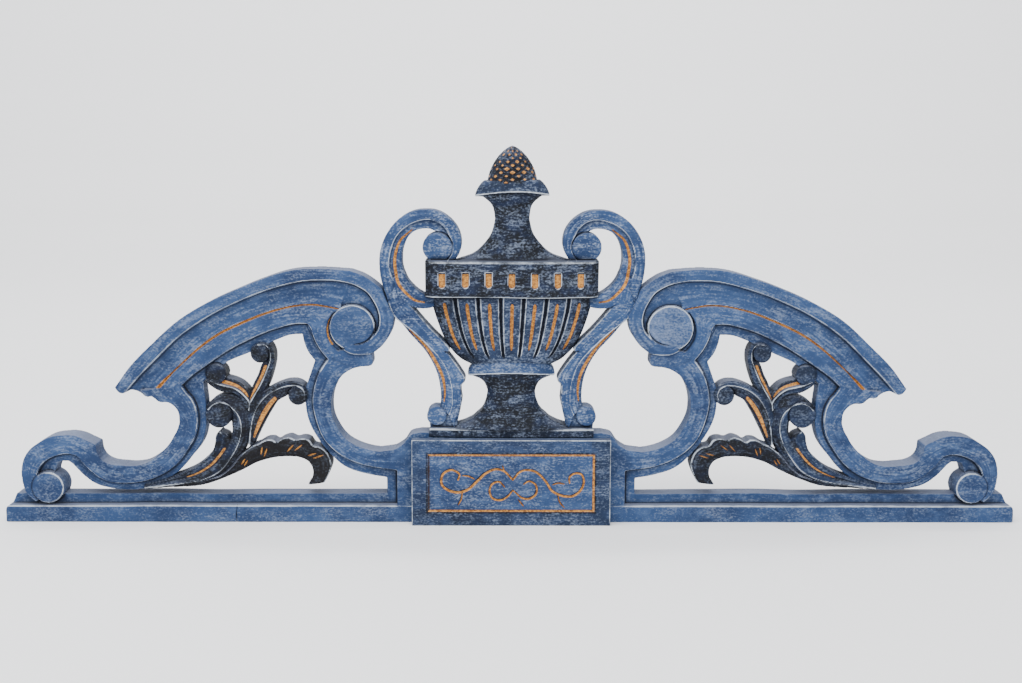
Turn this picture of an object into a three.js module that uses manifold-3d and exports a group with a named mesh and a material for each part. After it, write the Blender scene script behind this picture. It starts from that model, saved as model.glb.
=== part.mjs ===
// Carved headpiece: a pierced and painted wooden pediment of two scrolled wings, an urn board
// between them, and a block applied over the joint. Millimetres, +Z up, the front faces -Y.
// The origin is at the middle of the footprint, on the underside.
import * as THREE from 'three';
import Module from 'manifold-3d';
import { mergeVertices } from 'three/addons/utils/BufferGeometryUtils.js';

const wasm = await Module();
wasm.setup();

// Driving sizes
const WIDTH = 1200; // end to end along the rail
const WING_HEIGHT = 301.6; // underside to the top of the arch
const URN_HEIGHT = 444; // underside to the tip of the finial
const BOARD = 32; // front of the flat bands above the back
const BLOCK_FRONT = 50; // front of the applied block above the back, the whole depth
const GAP = 0.3; // air between two pieces that butt

// Heights of the carving above the back
const FILLET = 34;
const STRIP = 24;
const COVE = 27;
const GROOVE = 26.5;
const FINENESS = 0.02; // edges shorter than this are closed up where solids join
const PLANED = 2; // the solids are joined this much too deep and planed off flat behind
const STEP = 0.7; // run of a carved step, so that its wall leans a little

// Rail along the foot
const RAIL_HEIGHT = 32.5;
const LIP_HEIGHT = 20.5;
const LIP = 34;
const END_STEP = 12; // the strip over the lip stops this far short of the lip's end
const END_ROUND = 5;

// Urn board and plinth
const URN_BOARD = 96.5; // half width where the wings butt against it
const PLINTH_TOP = 113;
const PLINTH_HEIGHT = 9.6;
const PLINTH_FRONT = 36;

// Applied block
const BLOCK_WIDTH = 234;
const BLOCK_HEIGHT = 103;
const FRAME_INSET = 18.5;
const FRAME_RISE = 16.5;
const FRAME_GROOVE = 3;
const INCISED = 1.6;

// The wing's curves are drawn on a wing of this size and stretched to the sizes above
const DRAWN_JOINT = 96.8;
const DRAWN_REACH = 600;
const DRAWN_RAIL = 32.5;
const DRAWN_TOP = 301.6;
const JOINT = URN_BOARD + GAP;

const reach = (out) => JOINT + ((out - DRAWN_JOINT) * (WIDTH / 2 - JOINT)) / (DRAWN_REACH - DRAWN_JOINT);
const rise = (up) => RAIL_HEIGHT + ((up - DRAWN_RAIL) * (WING_HEIGHT - RAIL_HEIGHT)) / (DRAWN_TOP - DRAWN_RAIL);
const onWing = ([out, up]) => new THREE.Vector2(reach(out), rise(up));
// A round part stays round, its radius taking the mean of the two stretches
const wingRound = (radius) => radius * Math.sqrt((reach(1) - reach(0)) * (rise(1) - rise(0)));

// The urn's curves are drawn on an urn of this size
const DRAWN_TIP = 444;
const DRAWN_PLINTH = 113;
const DRAWN_HALF = 96.5;
const aside = (out) => (out * URN_BOARD) / DRAWN_HALF;
const aloft = (up) => PLINTH_TOP + ((up - DRAWN_PLINTH) * (URN_HEIGHT - PLINTH_TOP)) / (DRAWN_TIP - DRAWN_PLINTH);
const onUrn = ([out, up]) => new THREE.Vector2(aside(out), aloft(up));
const urnRound = (radius) => radius * Math.sqrt(aside(1) * (aloft(1) - aloft(0)));

// A smooth line through hand-chosen points, as count + 1 evenly spaced points
function line(points, count, place) {
  const spots = points.map(place).map((spot) => new THREE.Vector3(spot.x, spot.y, 0));
  const curve = new THREE.CatmullRomCurve3(spots, false, 'centripetal');
  return curve.getSpacedPoints(count).map((spot) => new THREE.Vector2(spot.x, spot.y));
}

// Several smooth lines that meet at corners
function corneredLine(parts, counts, place) {
  return parts.flatMap((points, index) => {
    const run = line(points, counts[index], place);
    return index === 0 ? run : run.slice(1);
  });
}

function toSolid(geometry) {
  const bare = geometry.clone();
  bare.deleteAttribute('normal');
  bare.deleteAttribute('uv');
  const merged = mergeVertices(bare, 1e-5);
  return new wasm.Manifold(new wasm.Mesh({
    numProp: 3,
    tolerance: FINENESS,
    vertProperties: new Float32Array(merged.attributes.position.array),
    triVerts: new Uint32Array(merged.index.array),
  }));
}

function signedVolume(corners, faces) {
  const [a, b, c] = [new THREE.Vector3(), new THREE.Vector3(), new THREE.Vector3()];
  let sum = 0;
  for (let i = 0; i < faces.length; i += 3) {
    a.fromArray(corners, faces[i] * 3);
    b.fromArray(corners, faces[i + 1] * 3);
    c.fromArray(corners, faces[i + 2] * 3);
    sum += a.dot(b.cross(c));
  }
  return sum / 6;
}

// Rows of { x, z, t } points, t being the height above the back, become one closed solid
// with a flat back and upright walls; it runs past the back, which is planed at the end
function relief(rows, back = -PLANED) {
  const across = rows[0].length;
  const corners = [];
  for (const row of rows) {
    for (const spot of row) corners.push(spot.x, BLOCK_FRONT / 2 - spot.t, spot.z);
  }
  const floor = corners.length / 3;
  for (const row of rows) {
    for (const spot of row) corners.push(spot.x, BLOCK_FRONT / 2 - back, spot.z);
  }
  const faces = [];
  const quad = (a, b, c, d) => faces.push(a, b, c, a, c, d);
  const index = (row, column) => row * across + column;
  const last = rows.length - 1;
  for (let row = 0; row < last; row += 1) {
    for (let column = 0; column < across - 1; column += 1) {
      const [a, b] = [index(row, column), index(row, column + 1)];
      const [c, d] = [index(row + 1, column + 1), index(row + 1, column)];
      quad(a, b, c, d);
      quad(floor + d, floor + c, floor + b, floor + a);
    }
    const [near, far] = [index(row, 0), index(row + 1, 0)];
    quad(near, far, floor + far, floor + near);
    const [nearEnd, farEnd] = [index(row, across - 1), index(row + 1, across - 1)];
    quad(farEnd, nearEnd, floor + nearEnd, floor + farEnd);
  }
  for (let column = 0; column < across - 1; column += 1) {
    const [a, b] = [index(0, column), index(0, column + 1)];
    quad(b, a, floor + a, floor + b);
    const [c, d] = [index(last, column), index(last, column + 1)];
    quad(c, d, floor + d, floor + c);
  }
  if (signedVolume(corners, faces) < 0) faces.reverse();
  const geometry = new THREE.BufferGeometry();
  geometry.setAttribute('position', new THREE.Float32BufferAttribute(corners, 3));
  geometry.setIndex(faces);
  return toSolid(geometry);
}

// A moulded strip between rails: section is a list of [rail, shift, height], where rail is a
// position between two rails (1.4 is four tenths of the way from rail 1 to rail 2) and shift
// moves it in millimetres towards the next rail
function moulding(rails, section, back = -PLANED) {
  const rows = rails[0].map((_, station) => section.map(([rail, shift, height]) => {
    const from = Math.min(Math.floor(rail), rails.length - 2);
    const start = rails[from][station];
    const end = rails[from + 1][station];
    const span = start.distanceTo(end) || 1;
    const spot = start.clone().lerp(end, rail - from + shift / span);
    return { x: spot.x, z: spot.y, t: height };
  }));
  return relief(rows, back);
}

// A flat board with an outline, between two heights above the back
function board(outline, back, front) {
  const shape = new THREE.Shape(outline);
  const geometry = new THREE.ExtrudeGeometry(shape, { depth: front - back, bevelEnabled: false });
  geometry.rotateX(Math.PI / 2);
  geometry.translate(0, BLOCK_FRONT / 2 - back, 0);
  return toSolid(geometry);
}

function rectangle(left, right, low, high) {
  return [[left, low], [right, low], [right, high], [left, high]].map(([x, z]) => new THREE.Vector2(x, z));
}

// A scroll's eye: a round boss that slopes off a little round its flat middle
const BOSS_FLAT = 0.75;

function boss(centre, radius, { front, drop, sides }) {
  const top = front + PLANED;
  const profile = [
    new THREE.Vector2(0, 0), new THREE.Vector2(radius, 0), new THREE.Vector2(radius, top - drop),
    new THREE.Vector2(radius * BOSS_FLAT, top), new THREE.Vector2(0, top),
  ];
  const geometry = new THREE.LatheGeometry(profile, sides);
  geometry.rotateX(Math.PI);
  geometry.translate(centre.x, BLOCK_FRONT / 2 + PLANED, centre.y);
  return toSolid(geometry);
}

const unite = (solids) => wasm.Manifold.union(solids);

// Planes the joined solids flat behind
function plane(solid) {
  const far = WIDTH;
  return solid.subtract(board(rectangle(-far, far, -far, far), -BLOCK_FRONT, 0));
}

// Arch: a raised fillet, a cove, a gilt groove, a flat band and the sunk strip inside it
function arch() {
  const stations = 11;
  const outer = line([
    [469, 157], [464.6, 162.2], [423, 210], [386.5, 243.2], [350.5, 264.6], [315.3, 279.8], [257, 299.2],
    [222.2, 301.6], [187.5, 299.4],
  ], stations, onWing);
  const fillet = line([
    [458, 150], [453.7, 154.6], [422.6, 187.7], [386.6, 223.2], [351, 248.2], [315.7, 265.2],
    [245.6, 287], [222.4, 288.2], [190, 284.9],
  ], stations, onWing);
  const groove = line([
    [430, 146], [418, 158], [406, 170.5], [389, 188.5], [341, 226], [281.8, 251.9], [246.7, 260.2],
    [223.4, 259.7], [197, 252],
  ], stations, onWing);
  const arris = line([
    [388.2, 163.5], [364.9, 183.2], [329.2, 207.3], [293.7, 225.1], [252.6, 237.5], [238.7, 238],
  ], stations, onWing);
  const opening = line([
    [364, 167.5], [347.7, 181.6], [334.5, 191.6], [307, 203.5], [273.9, 219], [260.2, 223.6], [244.8, 225],
  ], stations, onWing);
  return moulding([outer, fillet, groove, arris, opening], [
    [0, 0, FILLET], [1, 0, FILLET], [1, STEP, COVE], [2, -2.4, BOARD - 1],
    [2, 0, GROOVE], [2, 2.4, BOARD - 1], [3, 0, BOARD], [3, STEP, STRIP], [4, 0, STRIP],
  ]);
}

// The arch ends in a scalloped tip over the outer hollow; the whole wing is cut to this line
const TIP = [
  [480, 160], [468, 164], [463.9, 160.1], [459.6, 155.6], [454, 155], [447, 158], [436.3, 154.7],
  [426.9, 150], [423, 150.9], [414.9, 144.8], [404.5, 143.8], [399.3, 141.4], [394.3, 136.5],
  [391.4, 129], [391, 122], [400, 118], [440, 100],
];

// The arch's fillet runs on round the eye and dies into its foot
const EYE = { centre: [184.8, 232.3], radius: 27, front: 35.5, drop: 0.8, sides: 16 };

function volute() {
  const stations = 11;
  const outer = line([
    [187.5, 299.4], [171.3, 293], [152.9, 279], [142.6, 263.8], [137.6, 245.1], [140.6, 228.6],
    [148.9, 215.6], [165.4, 204.4], [183, 200.4], [200.4, 208.4], [208.5, 217],
  ], stations, onWing);
  const inner = line([
    [190, 284.9], [173.9, 277.2], [160.1, 262.6], [154.3, 246.1], [156, 233.3], [161.5, 222.3],
    [171.1, 214.4], [183, 210], [194, 212.5], [202, 219],
  ], stations, onWing);
  const ground = corneredLine([
    [[187.5, 299.4], [171.3, 293], [152.9, 279], [142.6, 263.8], [137.6, 245.1], [140.6, 228.6],
      [148.9, 215.6], [165.4, 204.4], [183, 200.4]],
    [[183, 200.4], [214.8, 195.5]],
    [[214.8, 195.5], [224, 206.9], [231.9, 221.1], [238.7, 238]],
  ], [12, 1, 4], onWing);
  const cheek = corneredLine([
    [[214.8, 195.5], [224, 206.9], [231.9, 221.1], [238.7, 238]],
    [[238.7, 238], [214, 250]],
    [[214, 250], [216, 232], [210, 214], [196, 204]],
  ], [4, 1, 5], onWing);
  return unite([
    moulding([outer, inner], [[0, 0, FILLET], [1, 0, FILLET]]),
    board(ground, -PLANED, COVE),
    board(cheek, -PLANED, BOARD - 1),
    boss(onWing(EYE.centre), wingRound(EYE.radius), EYE),
  ]);
}

// Neck, inner C and the stile beside the block, with the sunk strip along the opening
function innerScroll() {
  const neckArris = line([[239.3, 240], [231.9, 221.1], [224, 206.9], [213.6, 193.8]], 4, onWing);
  const neckOpening = line([[245.2, 226.6], [243, 215.3], [238.2, 202.8], [229.6, 191.8]], 4, onWing);
  const neckInside = line([[214, 246], [212, 226], [206, 208], [198, 197]], 4, onWing);
  const stations = 10;
  const arris = line([
    [214.2, 195], [224.4, 180.8], [231.1, 162.9], [233.6, 144.3], [229.5, 121.3], [220.8, 100.6],
    [203, 82.1], [176, 69.4], [135.4, 62.6],
  ], stations, onWing);
  const opening = line([
    [230.3, 193.9], [236.2, 177.2], [241.8, 161], [243.2, 143], [240.6, 124.5], [232.6, 106.5],
    [215.5, 82.5], [195.2, 64.8], [167.9, 56.1], [147.4, 52.7],
  ], stations, onWing);
  const hollow = line([
    [186, 185], [197.6, 177.3], [207.4, 163], [212, 146], [211.4, 130], [206, 115.8],
    [195.2, 100.4], [178, 90.2], [155.1, 85], [137.4, 87.4],
  ], stations, onWing);
  const tab = corneredLine([
    [[166.9, 187.4], [183.6, 185.3], [197.2, 177.3]],
    [[197.2, 177.3], [226, 180]],
    [[226, 180], [214.8, 196], [200, 206], [166.9, 206]],
  ], [4, 1, 3], onWing);
  const stile = corneredLine([
    [[137.4, 87.4], [126.7, 94.7], [117.9, 106.6]],
    [[117.9, 106.6], [DRAWN_JOINT, 108]],
    [[DRAWN_JOINT, 108], [DRAWN_JOINT, 10]],
    [[DRAWN_JOINT, 10], [135.4, 10]],
    [[135.4, 10], [135.4, 63]],
    [[135.4, 63], [155, 66], [155, 85]],
  ], [4, 1, 1, 1, 1, 2], onWing);
  const strip = [[130, 10], [147.4, 10], [147.4, 53.5], [150, 60], [130, 66]].map(onWing);
  return unite([
    moulding([neckInside, neckArris, neckOpening], [
      [0, 0, BOARD], [1, 0, BOARD], [1, STEP, STRIP], [2, 0, STRIP],
    ]),
    moulding([hollow, arris, opening], [
      [0, 0, BOARD], [1, 0, BOARD], [1, STEP, STRIP], [2, 0, STRIP],
    ]),
    board(tab, -PLANED, BOARD - 1.5),
    board(stile, -PLANED, BOARD),
    board(strip, -PLANED, STRIP),
  ]);
}

// Lower C, trough and outer scroll in one band, which winds round its boss down to the rail
const ROLL = { centre: [548.6, 41.5], radius: 18.6, front: BOARD + 0.6, drop: 0.8, sides: 16 };

function outerScroll() {
  const edge = corneredLine([
    [[436, 158], [420, 140], [400, 131], [391.2, 124], [393.6, 112], [398, 104], [403.5, 94.6],
      [415.9, 81.4], [433.2, 70], [447, 67.4], [462.4, 68.1], [476.5, 70.2], [485.4, 75.4],
      [489.7, 83.2], [490.8, 93.2]],
    [[490.8, 93.2], [499.4, 97.4], [508.9, 102], [518.6, 104.4], [530.3, 104.3], [544.1, 102], [556.1, 95.6],
      [568.2, 87], [575.8, 75.6], [579.2, 61], [578, 45], [573.2, 32.8], [564, 24]],
  ], [11, 10], onWing);
  const arris = corneredLine([
    [[388.2, 163.5], [382.4, 155], [377, 148.5], [372.4, 139.5], [370.3, 126], [371, 114], [374.5, 102.5],
      [382, 88.8], [394.5, 71.5], [411.9, 57.9], [432.6, 49.5], [452.3, 46.8], [466, 47.2], [478, 49.4],
      [489.4, 54.1]],
    [[489.4, 54.1], [500.7, 64.2], [508.2, 73.2], [512.8, 79], [518.5, 81.4], [526, 82.2], [535.2, 80.7],
      [545.2, 76.8], [553.3, 71.1], [559.5, 62.1], [561, 52], [556, 42], [548, 36]],
  ], [11, 10], onWing);
  const opening = corneredLine([
    [[364, 167.5], [362.6, 155], [361.4, 142], [361.3, 128], [361.6, 115], [365.8, 99], [372.5, 87.5],
      [382, 76], [394, 61.2], [405.8, 52.8], [417.8, 46.5], [437.1, 38.7], [452, 37.4], [466, 38.2],
      [476.4, 39.5]],
    [[476.4, 39.5], [490, 43], [499.7, 48.1], [509.2, 56.2], [515.8, 63.8], [522.3, 71], [530.2, 72.4],
      [537, 70.8], [540.5, 64], [543, 52], [544, 42], [542, 36]],
  ], [11, 10], onWing);
  const heel = [[388.2, 163.5], [410, 168], [432, 152], [424, 138], [396, 122], [380, 128], [376, 146]];
  return unite([
    moulding([edge, arris, opening], [
      [0, 0, BOARD], [1, 0, BOARD], [1, STEP, STRIP], [2, 0, STRIP],
    ]),
    board(heel.map(onWing), -PLANED, BOARD),
    boss(onWing(ROLL.centre), wingRound(ROLL.radius), ROLL),
  ]);
}

// A stem with two ridges and a gouged groove between them
function stem(left, right, stations, low = 25, high = 29) {
  return moulding([line(left, stations, onWing), line(right, stations, onWing)], [
    [0, 0, low], [0.16, 0, high], [0.4, 0, high - 4], [0.62, 0, high], [1, 0, low - 1],
  ]);
}

// Scrolled foliage that springs from the trough and fills the opening
const BUTTON = { front: 29, drop: 1.5, sides: 10 };

function foliage() {
  const scrolls = [
    { stem: [[[309.5, 137], [309.5, 155.1], [318.2, 165.2], [328, 170.2], [337.2, 172.7], [345, 176]],
      [[317, 138], [321.6, 149.5], [331.4, 154.5], [342.6, 155.8], [352.4, 160.8], [361.5, 168.5]]],
    eye: [348.3, 177], radius: 12 },
    { stem: [[[313, 138], [308.7, 154.9], [303.5, 167.5], [298.3, 177.6], [293.7, 189.6], [294.5, 198],
      [300, 200]],
    [[307.5, 130], [297.7, 148.6], [288.7, 161.3], [282.8, 176.4], [278.7, 194], [281, 209], [291, 215.4],
      [304.4, 207.7]]],
    eye: [295.6, 202.1], radius: 10.9 },
    { stem: [[[311.5, 99], [309.5, 114], [311.5, 128.7], [305.6, 142], [298.5, 151.5], [288.5, 159.1],
      [275.9, 165.4], [263.5, 169], [253.6, 168.4], [245, 164.2], [240.2, 156], [241.6, 146.5]],
    [[306.8, 92], [300.5, 105], [292.5, 120], [286.5, 130.5], [280.5, 139.5], [274, 146.6], [267.5, 150.6],
      [262, 153], [257, 157], [251, 158], [247, 154], [247, 148]]],
    eye: [251.7, 152], radius: 11.4 },
    { stem: [[[361.5, 136.5], [356.5, 143], [349.3, 148.4], [341, 151.4], [332, 151], [323.4, 149.4],
      [313.6, 142.6], [308.6, 131.3], [308.2, 118.6], [310.8, 103.3], [316.2, 88], [325.3, 72.7], [342, 56.2],
      [357.1, 49.4], [376, 44.2], [399.3, 42], [436, 38]],
    [[355, 133], [351, 137], [345, 139], [339, 137], [333, 131], [330.5, 120], [330, 109.2], [332.5, 99.1],
      [337.7, 88.8], [344, 79.5], [353, 69.5], [364, 61.5], [378, 55], [395, 50], [414, 47], [436, 43]]],
    eye: [345.2, 129.1], radius: 15.5 },
  ];
  const solids = scrolls.flatMap(({ stem: [left, right], eye, radius }) => [
    stem(left, right, left.length - 1),
    boss(onWing(eye), wingRound(radius), BUTTON),
  ]);
  const bud = stem(
    [[345.1, 110], [349.6, 104.3], [351.1, 95.4], [353.8, 86.5], [362.8, 76.3], [375.6, 65.4], [392, 57],
      [410, 51], [436, 44]],
    [[345.1, 108], [337.1, 104.4], [333.6, 96.7], [337.5, 88.6], [345, 76.5], [360, 62], [385, 51],
      [410, 46], [436, 40]],
    7, 24, 26,
  );
  const leafBack = line([
    [420, 43], [384, 47], [356.7, 52.4], [341.6, 58], [330.1, 68], [321.1, 79.4], [312.2, 87], [304.6, 92.4],
    [296, 96.4], [287, 98.6], [277.1, 96.4], [270.5, 99.6], [262, 101], [253, 98.8], [246, 99.8], [238, 96.5],
    [234.4, 91.4], [226.1, 89.4], [219.6, 84.8], [215.5, 77.1], [213.9, 68.2], [217.5, 56.7], [222, 48.3],
  ], 14, onWing);
  const leafFront = line([
    [420, 39.5], [389.5, 40.8], [369.4, 43.4], [342.8, 52.3], [321.3, 61.3], [301, 71.4], [282.1, 76.7],
    [265.9, 78.2], [250.9, 76.8], [241.2, 71.9], [236.3, 64.2], [235.8, 55.2], [237.8, 49.5], [242, 44],
  ], 14, onWing);
  const leaf = moulding([leafBack, leafFront], [[0, 0, 25], [0.25, 0, 29], [0.65, 0, 26], [1, 0, 22]]);
  return unite([...solids, bud, leaf]);
}

// Foot rail: a raised lip, a shallow cove over it, and both returned at the outer end
function rail() {
  const far = WIDTH / 2;
  const lip = [
    new THREE.Vector2(JOINT, 0), new THREE.Vector2(far - 0.6, 0),
    new THREE.Vector2(far, LIP_HEIGHT - 2 * END_ROUND),
    new THREE.Vector2(far - END_ROUND * 0.3, LIP_HEIGHT - END_ROUND * 0.7),
    new THREE.Vector2(far - END_ROUND, LIP_HEIGHT), new THREE.Vector2(JOINT, LIP_HEIGHT),
  ];
  const cove = [[0, STRIP + 1], [LIP_HEIGHT, STRIP + 2], [(LIP_HEIGHT + RAIL_HEIGHT) / 2, STRIP - 0.6],
    [RAIL_HEIGHT - 1.5, STRIP + 0.8], [RAIL_HEIGHT, STRIP]];
  const rows = [[JOINT, JOINT], [far - END_STEP, far - 3]].map(([top, foot]) => cove.map(([z, t], index) => {
    const share = index / (cove.length - 1);
    return { x: foot + (top - foot) * share, z, t };
  }));
  return unite([board(lip, -PLANED, LIP), relief(rows)]);
}

// The handle's outer edge, from its button over the top and down to the plinth
const HANDLE_EDGE = [
  [68, 311], [61.5, 321], [59, 333], [61.7, 346.5], [70, 358.5], [84.3, 368.3], [101, 371], [118, 367.8],
  [134.5, 357], [147, 340.5], [153.5, 323], [154.7, 306], [151.5, 285.5], [139, 255], [119, 226.5],
  [101.5, 206.4], [92.5, 191.5], [86.8, 178], [83.5, 162], [82.8, 150], [86, 138], [96, 126], [95, 112],
];
const EDGE_STATIONS = 26;
const LOOP_END = 15; // the upper loop takes the edge up to this station
const SWEEP_START = 13; // and the sweep to the plinth takes it from this one
const LOOP_INSIDE = [
  [82, 311], [77, 319], [75, 328], [77, 337], [86.6, 345.1], [94.9, 349], [103.2, 349.2], [113.6, 346],
  [122, 338], [127.2, 326.3], [128.8, 313.8], [127.2, 301.3], [121.8, 289], [115, 280],
];
const SWEEP_INSIDE = [
  [[133, 292], [127.5, 271], [114.5, 254.5], [101.5, 238.6], [91, 227.2], [83, 219.5], [75, 209.4],
    [74, 206]],
  [[74, 206], [69, 194.5], [61, 183], [55, 171], [58.6, 165], [59.2, 156], [58.4, 146], [61, 134],
    [66, 122], [68, 112]],
];
const HANDLE_BUTTON = { out: 86.3, radius: 17.2, sunk: 1.7, front: 31, drop: 1.5, sides: 16 };
const FOOT_ROLL = { out: 88.2, lift: 14.2, radius: 11.5, front: 31, drop: 1.5, sides: 14 };

function handleRails() {
  const edge = line(HANDLE_EDGE, EDGE_STATIONS, onUrn);
  return {
    loop: [edge.slice(0, LOOP_END + 1), line(LOOP_INSIDE, LOOP_END, onUrn)],
    sweep: [edge.slice(SWEEP_START), corneredLine(SWEEP_INSIDE, [6, EDGE_STATIONS - SWEEP_START - 6], onUrn)],
  };
}

// The room that a wing leaves for the handle
function handleRoom(clearance) {
  const { loop, sweep } = handleRails();
  return unite([loop, sweep].map((rails) => moulding(rails, [
    [0, -clearance, BLOCK_FRONT], [1, 0, BLOCK_FRONT],
  ], -1)));
}

function handle() {
  const { loop, sweep } = handleRails();
  const hook = moulding([
    line([[140, 290], [132.8, 273.4], [124.6, 262.5], [115.2, 257.2], [105.8, 255.8], [92.2, 257.2]], 7, onUrn),
    line([[126, 298], [121.8, 289], [113, 279.2], [103.4, 272.8], [98, 270.6], [92.2, 270]], 7, onUrn),
  ], [[0, 0, 28], [0.5, 0, 25], [1, 0, 27]]);
  // Both rounds are seated by their own radius, the button on the frieze and the roll on the plinth
  const frieze = aloft(FRIEZE.high);
  const button = new THREE.Vector2(
    aside(HANDLE_BUTTON.out), frieze + urnRound(HANDLE_BUTTON.radius - HANDLE_BUTTON.sunk),
  );
  const roll = new THREE.Vector2(aside(FOOT_ROLL.out), PLINTH_TOP + urnRound(FOOT_ROLL.lift));
  return unite([
    moulding(loop, [[0, 0, 28.5], [0.3, 0, 31], [0.5, 0, 27], [0.66, 0, 28.5], [1, 0, 27]]),
    moulding(sweep, [[0, 0, 26], [0.25, 0, 28], [0.45, 0, 29.5], [1, 0, 26]]),
    hook,
    boss(button, urnRound(HANDLE_BUTTON.radius), HANDLE_BUTTON),
    boss(roll, urnRound(FOOT_ROLL.radius), FOOT_ROLL),
  ]);
}

// Urn, bottom to top: [height, half width, front at the edge, front at the middle]
const URN_FOOT = [
  [113, 70, 22, 40], [116, 65, 22, 39], [120, 54, 21.5, 38], [125, 45, 21, 36.5], [132, 37, 20, 35],
  [140, 31.8, 19.5, 33.6], [148.5, 29.2, 19, 33], [157, 28.3, 19, 33], [165, 31, 19, 33.3],
  [171.2, 36.8, 19.5, 34.4], [176.5, 48, 20, 35.5],
];
const URN_KNOP = [[176, 51, 22, 40], [181, 51, 22, 41], [187, 47, 22, 40.5], [193, 43.6, 22, 39]];
const URN_BOWL = [
  [190, 48.5, 21, 37], [198, 62, 21, 39.8], [209, 72.2, 21, 42], [225, 81.6, 21, 43.7],
  [246, 89.4, 21, 44.5], [270.5, 94.2, 21, 44.5],
];
const FRIEZE = { low: 270, high: 312.5, half: 100.8, edge: 27, middle: 47.5, bevel: 1.5 };
const URN_FRIEZE = [
  [FRIEZE.low, FRIEZE.half - 0.4, FRIEZE.edge - 1, FRIEZE.middle - 1],
  [FRIEZE.low + FRIEZE.bevel, FRIEZE.half, FRIEZE.edge, FRIEZE.middle],
  [FRIEZE.high - FRIEZE.bevel, FRIEZE.half, FRIEZE.edge, FRIEZE.middle],
  [FRIEZE.high, FRIEZE.half - 0.6, FRIEZE.edge - 1, FRIEZE.middle - 1],
];
const URN_NECK = [
  [311, 70, 21, 38], [314, 60.6, 20, 36.8], [318.8, 47.3, 20, 35.4], [325, 38.6, 20, 34.5],
  [333, 31.5, 19.5, 33.6], [342, 25.3, 19, 33.1], [351, 22.2, 19, 33], [361, 20.5, 19, 33],
  [371, 21.7, 19, 33], [379.4, 25.7, 19.5, 33.7], [384, 30.8, 20, 34.4], [388, 36, 20, 35],
];
const URN_COLLAR = [[387, 43.8, 23, 40], [392.5, 42.2, 23, 40], [398, 39.2, 22, 39], [405, 32.5, 21, 37.5]];
const FINIAL = {
  base: 402, top: DRAWN_TIP, half: 29, least: 1.2, edge: 19, tip: 23, swell: 14, scale: 1.6, rows: 6, scales: 5,
};
const LOBES = 7;
const NOTCH = { wide: 7.6, low: 281.5, high: 299, deep: 4, reach: 80.6 };

// Front of a rounded member at a share of its half width
const swell = (share, edge, middle) => edge + (middle - edge) * Math.sqrt(Math.max(0, 1 - share * share));

function turned(levels, shares, carve = () => 0) {
  return relief(levels.map(([up, half, edge, middle]) => shares.map((share) => ({
    x: aside(half) * share, z: aloft(up), t: swell(share, edge, middle) + carve(share, up),
  }))));
}

function evenShares(count) {
  return Array.from({ length: count + 1 }, (_, index) => Math.sin(((index / count) - 0.5) * Math.PI));
}

// Bowl: seven lobes parted by grooves, each lobe with a gilt flute down its middle
function bowl() {
  const shares = [];
  const depths = [];
  const edge = 0.985;
  for (let lobe = 0; lobe < LOBES; lobe += 1) {
    const [from, to] = [lobe, lobe + 1].map((side) => (side / LOBES) * 2 * edge - edge);
    const put = (share, depth) => {
      shares.push(from + (to - from) * share);
      depths.push(depth);
    };
    put(0.06, 0);
    put(0.4, 0);
    put(0.5, -3.4);
    put(0.6, 0);
    put(0.94, 0);
    if (lobe < LOBES - 1) put(1, -4);
  }
  const carve = (share) => depths[shares.indexOf(share)] ?? 0;
  return turned(URN_BOWL, [-1, ...shares, 1], carve);
}

function notches() {
  const pitch = (2 * NOTCH.reach) / (LOBES - 1);
  return Array.from({ length: LOBES }, (_, index) => {
    const middle = (index - (LOBES - 1) / 2) * pitch;
    const half = NOTCH.wide / 2;
    const outline = [[-half, NOTCH.high], [-half, NOTCH.low + half], [-half * 0.7, NOTCH.low + half * 0.3],
      [0, NOTCH.low], [half * 0.7, NOTCH.low + half * 0.3], [half, NOTCH.low + half], [half, NOTCH.high]];
    const front = swell(middle / FRIEZE.half, FRIEZE.edge, FRIEZE.middle);
    return board(outline.map(([x, z]) => onUrn([middle + x, z])), front - NOTCH.deep, BLOCK_FRONT + 1);
  });
}

// Pine cone finial: rows of scales, each row set half a scale on from the last
function finial() {
  const shares = evenShares(FINIAL.scales * 2);
  const rows = Array.from({ length: FINIAL.rows + 1 }, (_, row) => {
    const climb = row / FINIAL.rows;
    const half = Math.max(FINIAL.least, FINIAL.half * (1 - climb ** 1.75) ** 0.7);
    const up = FINIAL.base + (FINIAL.top - FINIAL.base) * climb;
    const front = FINIAL.tip + FINIAL.swell * Math.sqrt(1 - climb ** 2);
    const inner = row > 0 && row < FINIAL.rows;
    return shares.map((share, column) => {
      const scale = inner && (row + column) % 2 ? FINIAL.scale : -FINIAL.scale / 2;
      return { x: aside(half) * share, z: aloft(up), t: swell(share, FINIAL.edge, front) + scale };
    });
  });
  return relief(rows);
}

function urn() {
  const plain = evenShares(8);
  const plinth = rectangle(-URN_BOARD, URN_BOARD, PLINTH_TOP - PLINTH_HEIGHT, PLINTH_TOP);
  const tail = rectangle(-URN_BOARD, URN_BOARD, 0, PLINTH_TOP - PLINTH_HEIGHT / 2);
  const body = unite([
    turned(URN_FOOT, plain), turned(URN_KNOP, plain), bowl(), turned(URN_FRIEZE, plain),
    turned(URN_NECK, plain), turned(URN_COLLAR, plain), finial(),
    board(plinth, -PLANED, PLINTH_FRONT), board(tail, -PLANED, BOARD),
    handle(), mirror(handle()),
  ]);
  return notches().reduce((solid, notch) => solid.subtract(notch), plane(body));
}

function mirror(solid) {
  return solid.mirror([1, 0, 0]);
}

function wing() {
  const whole = unite([arch(), volute(), innerScroll(), outerScroll(), foliage(), rail()]);
  const hollow = board(TIP.map(onWing), -1, BLOCK_FRONT);
  return plane(whole.subtract(hollow).subtract(handleRoom(GAP * 3)));
}

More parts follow.
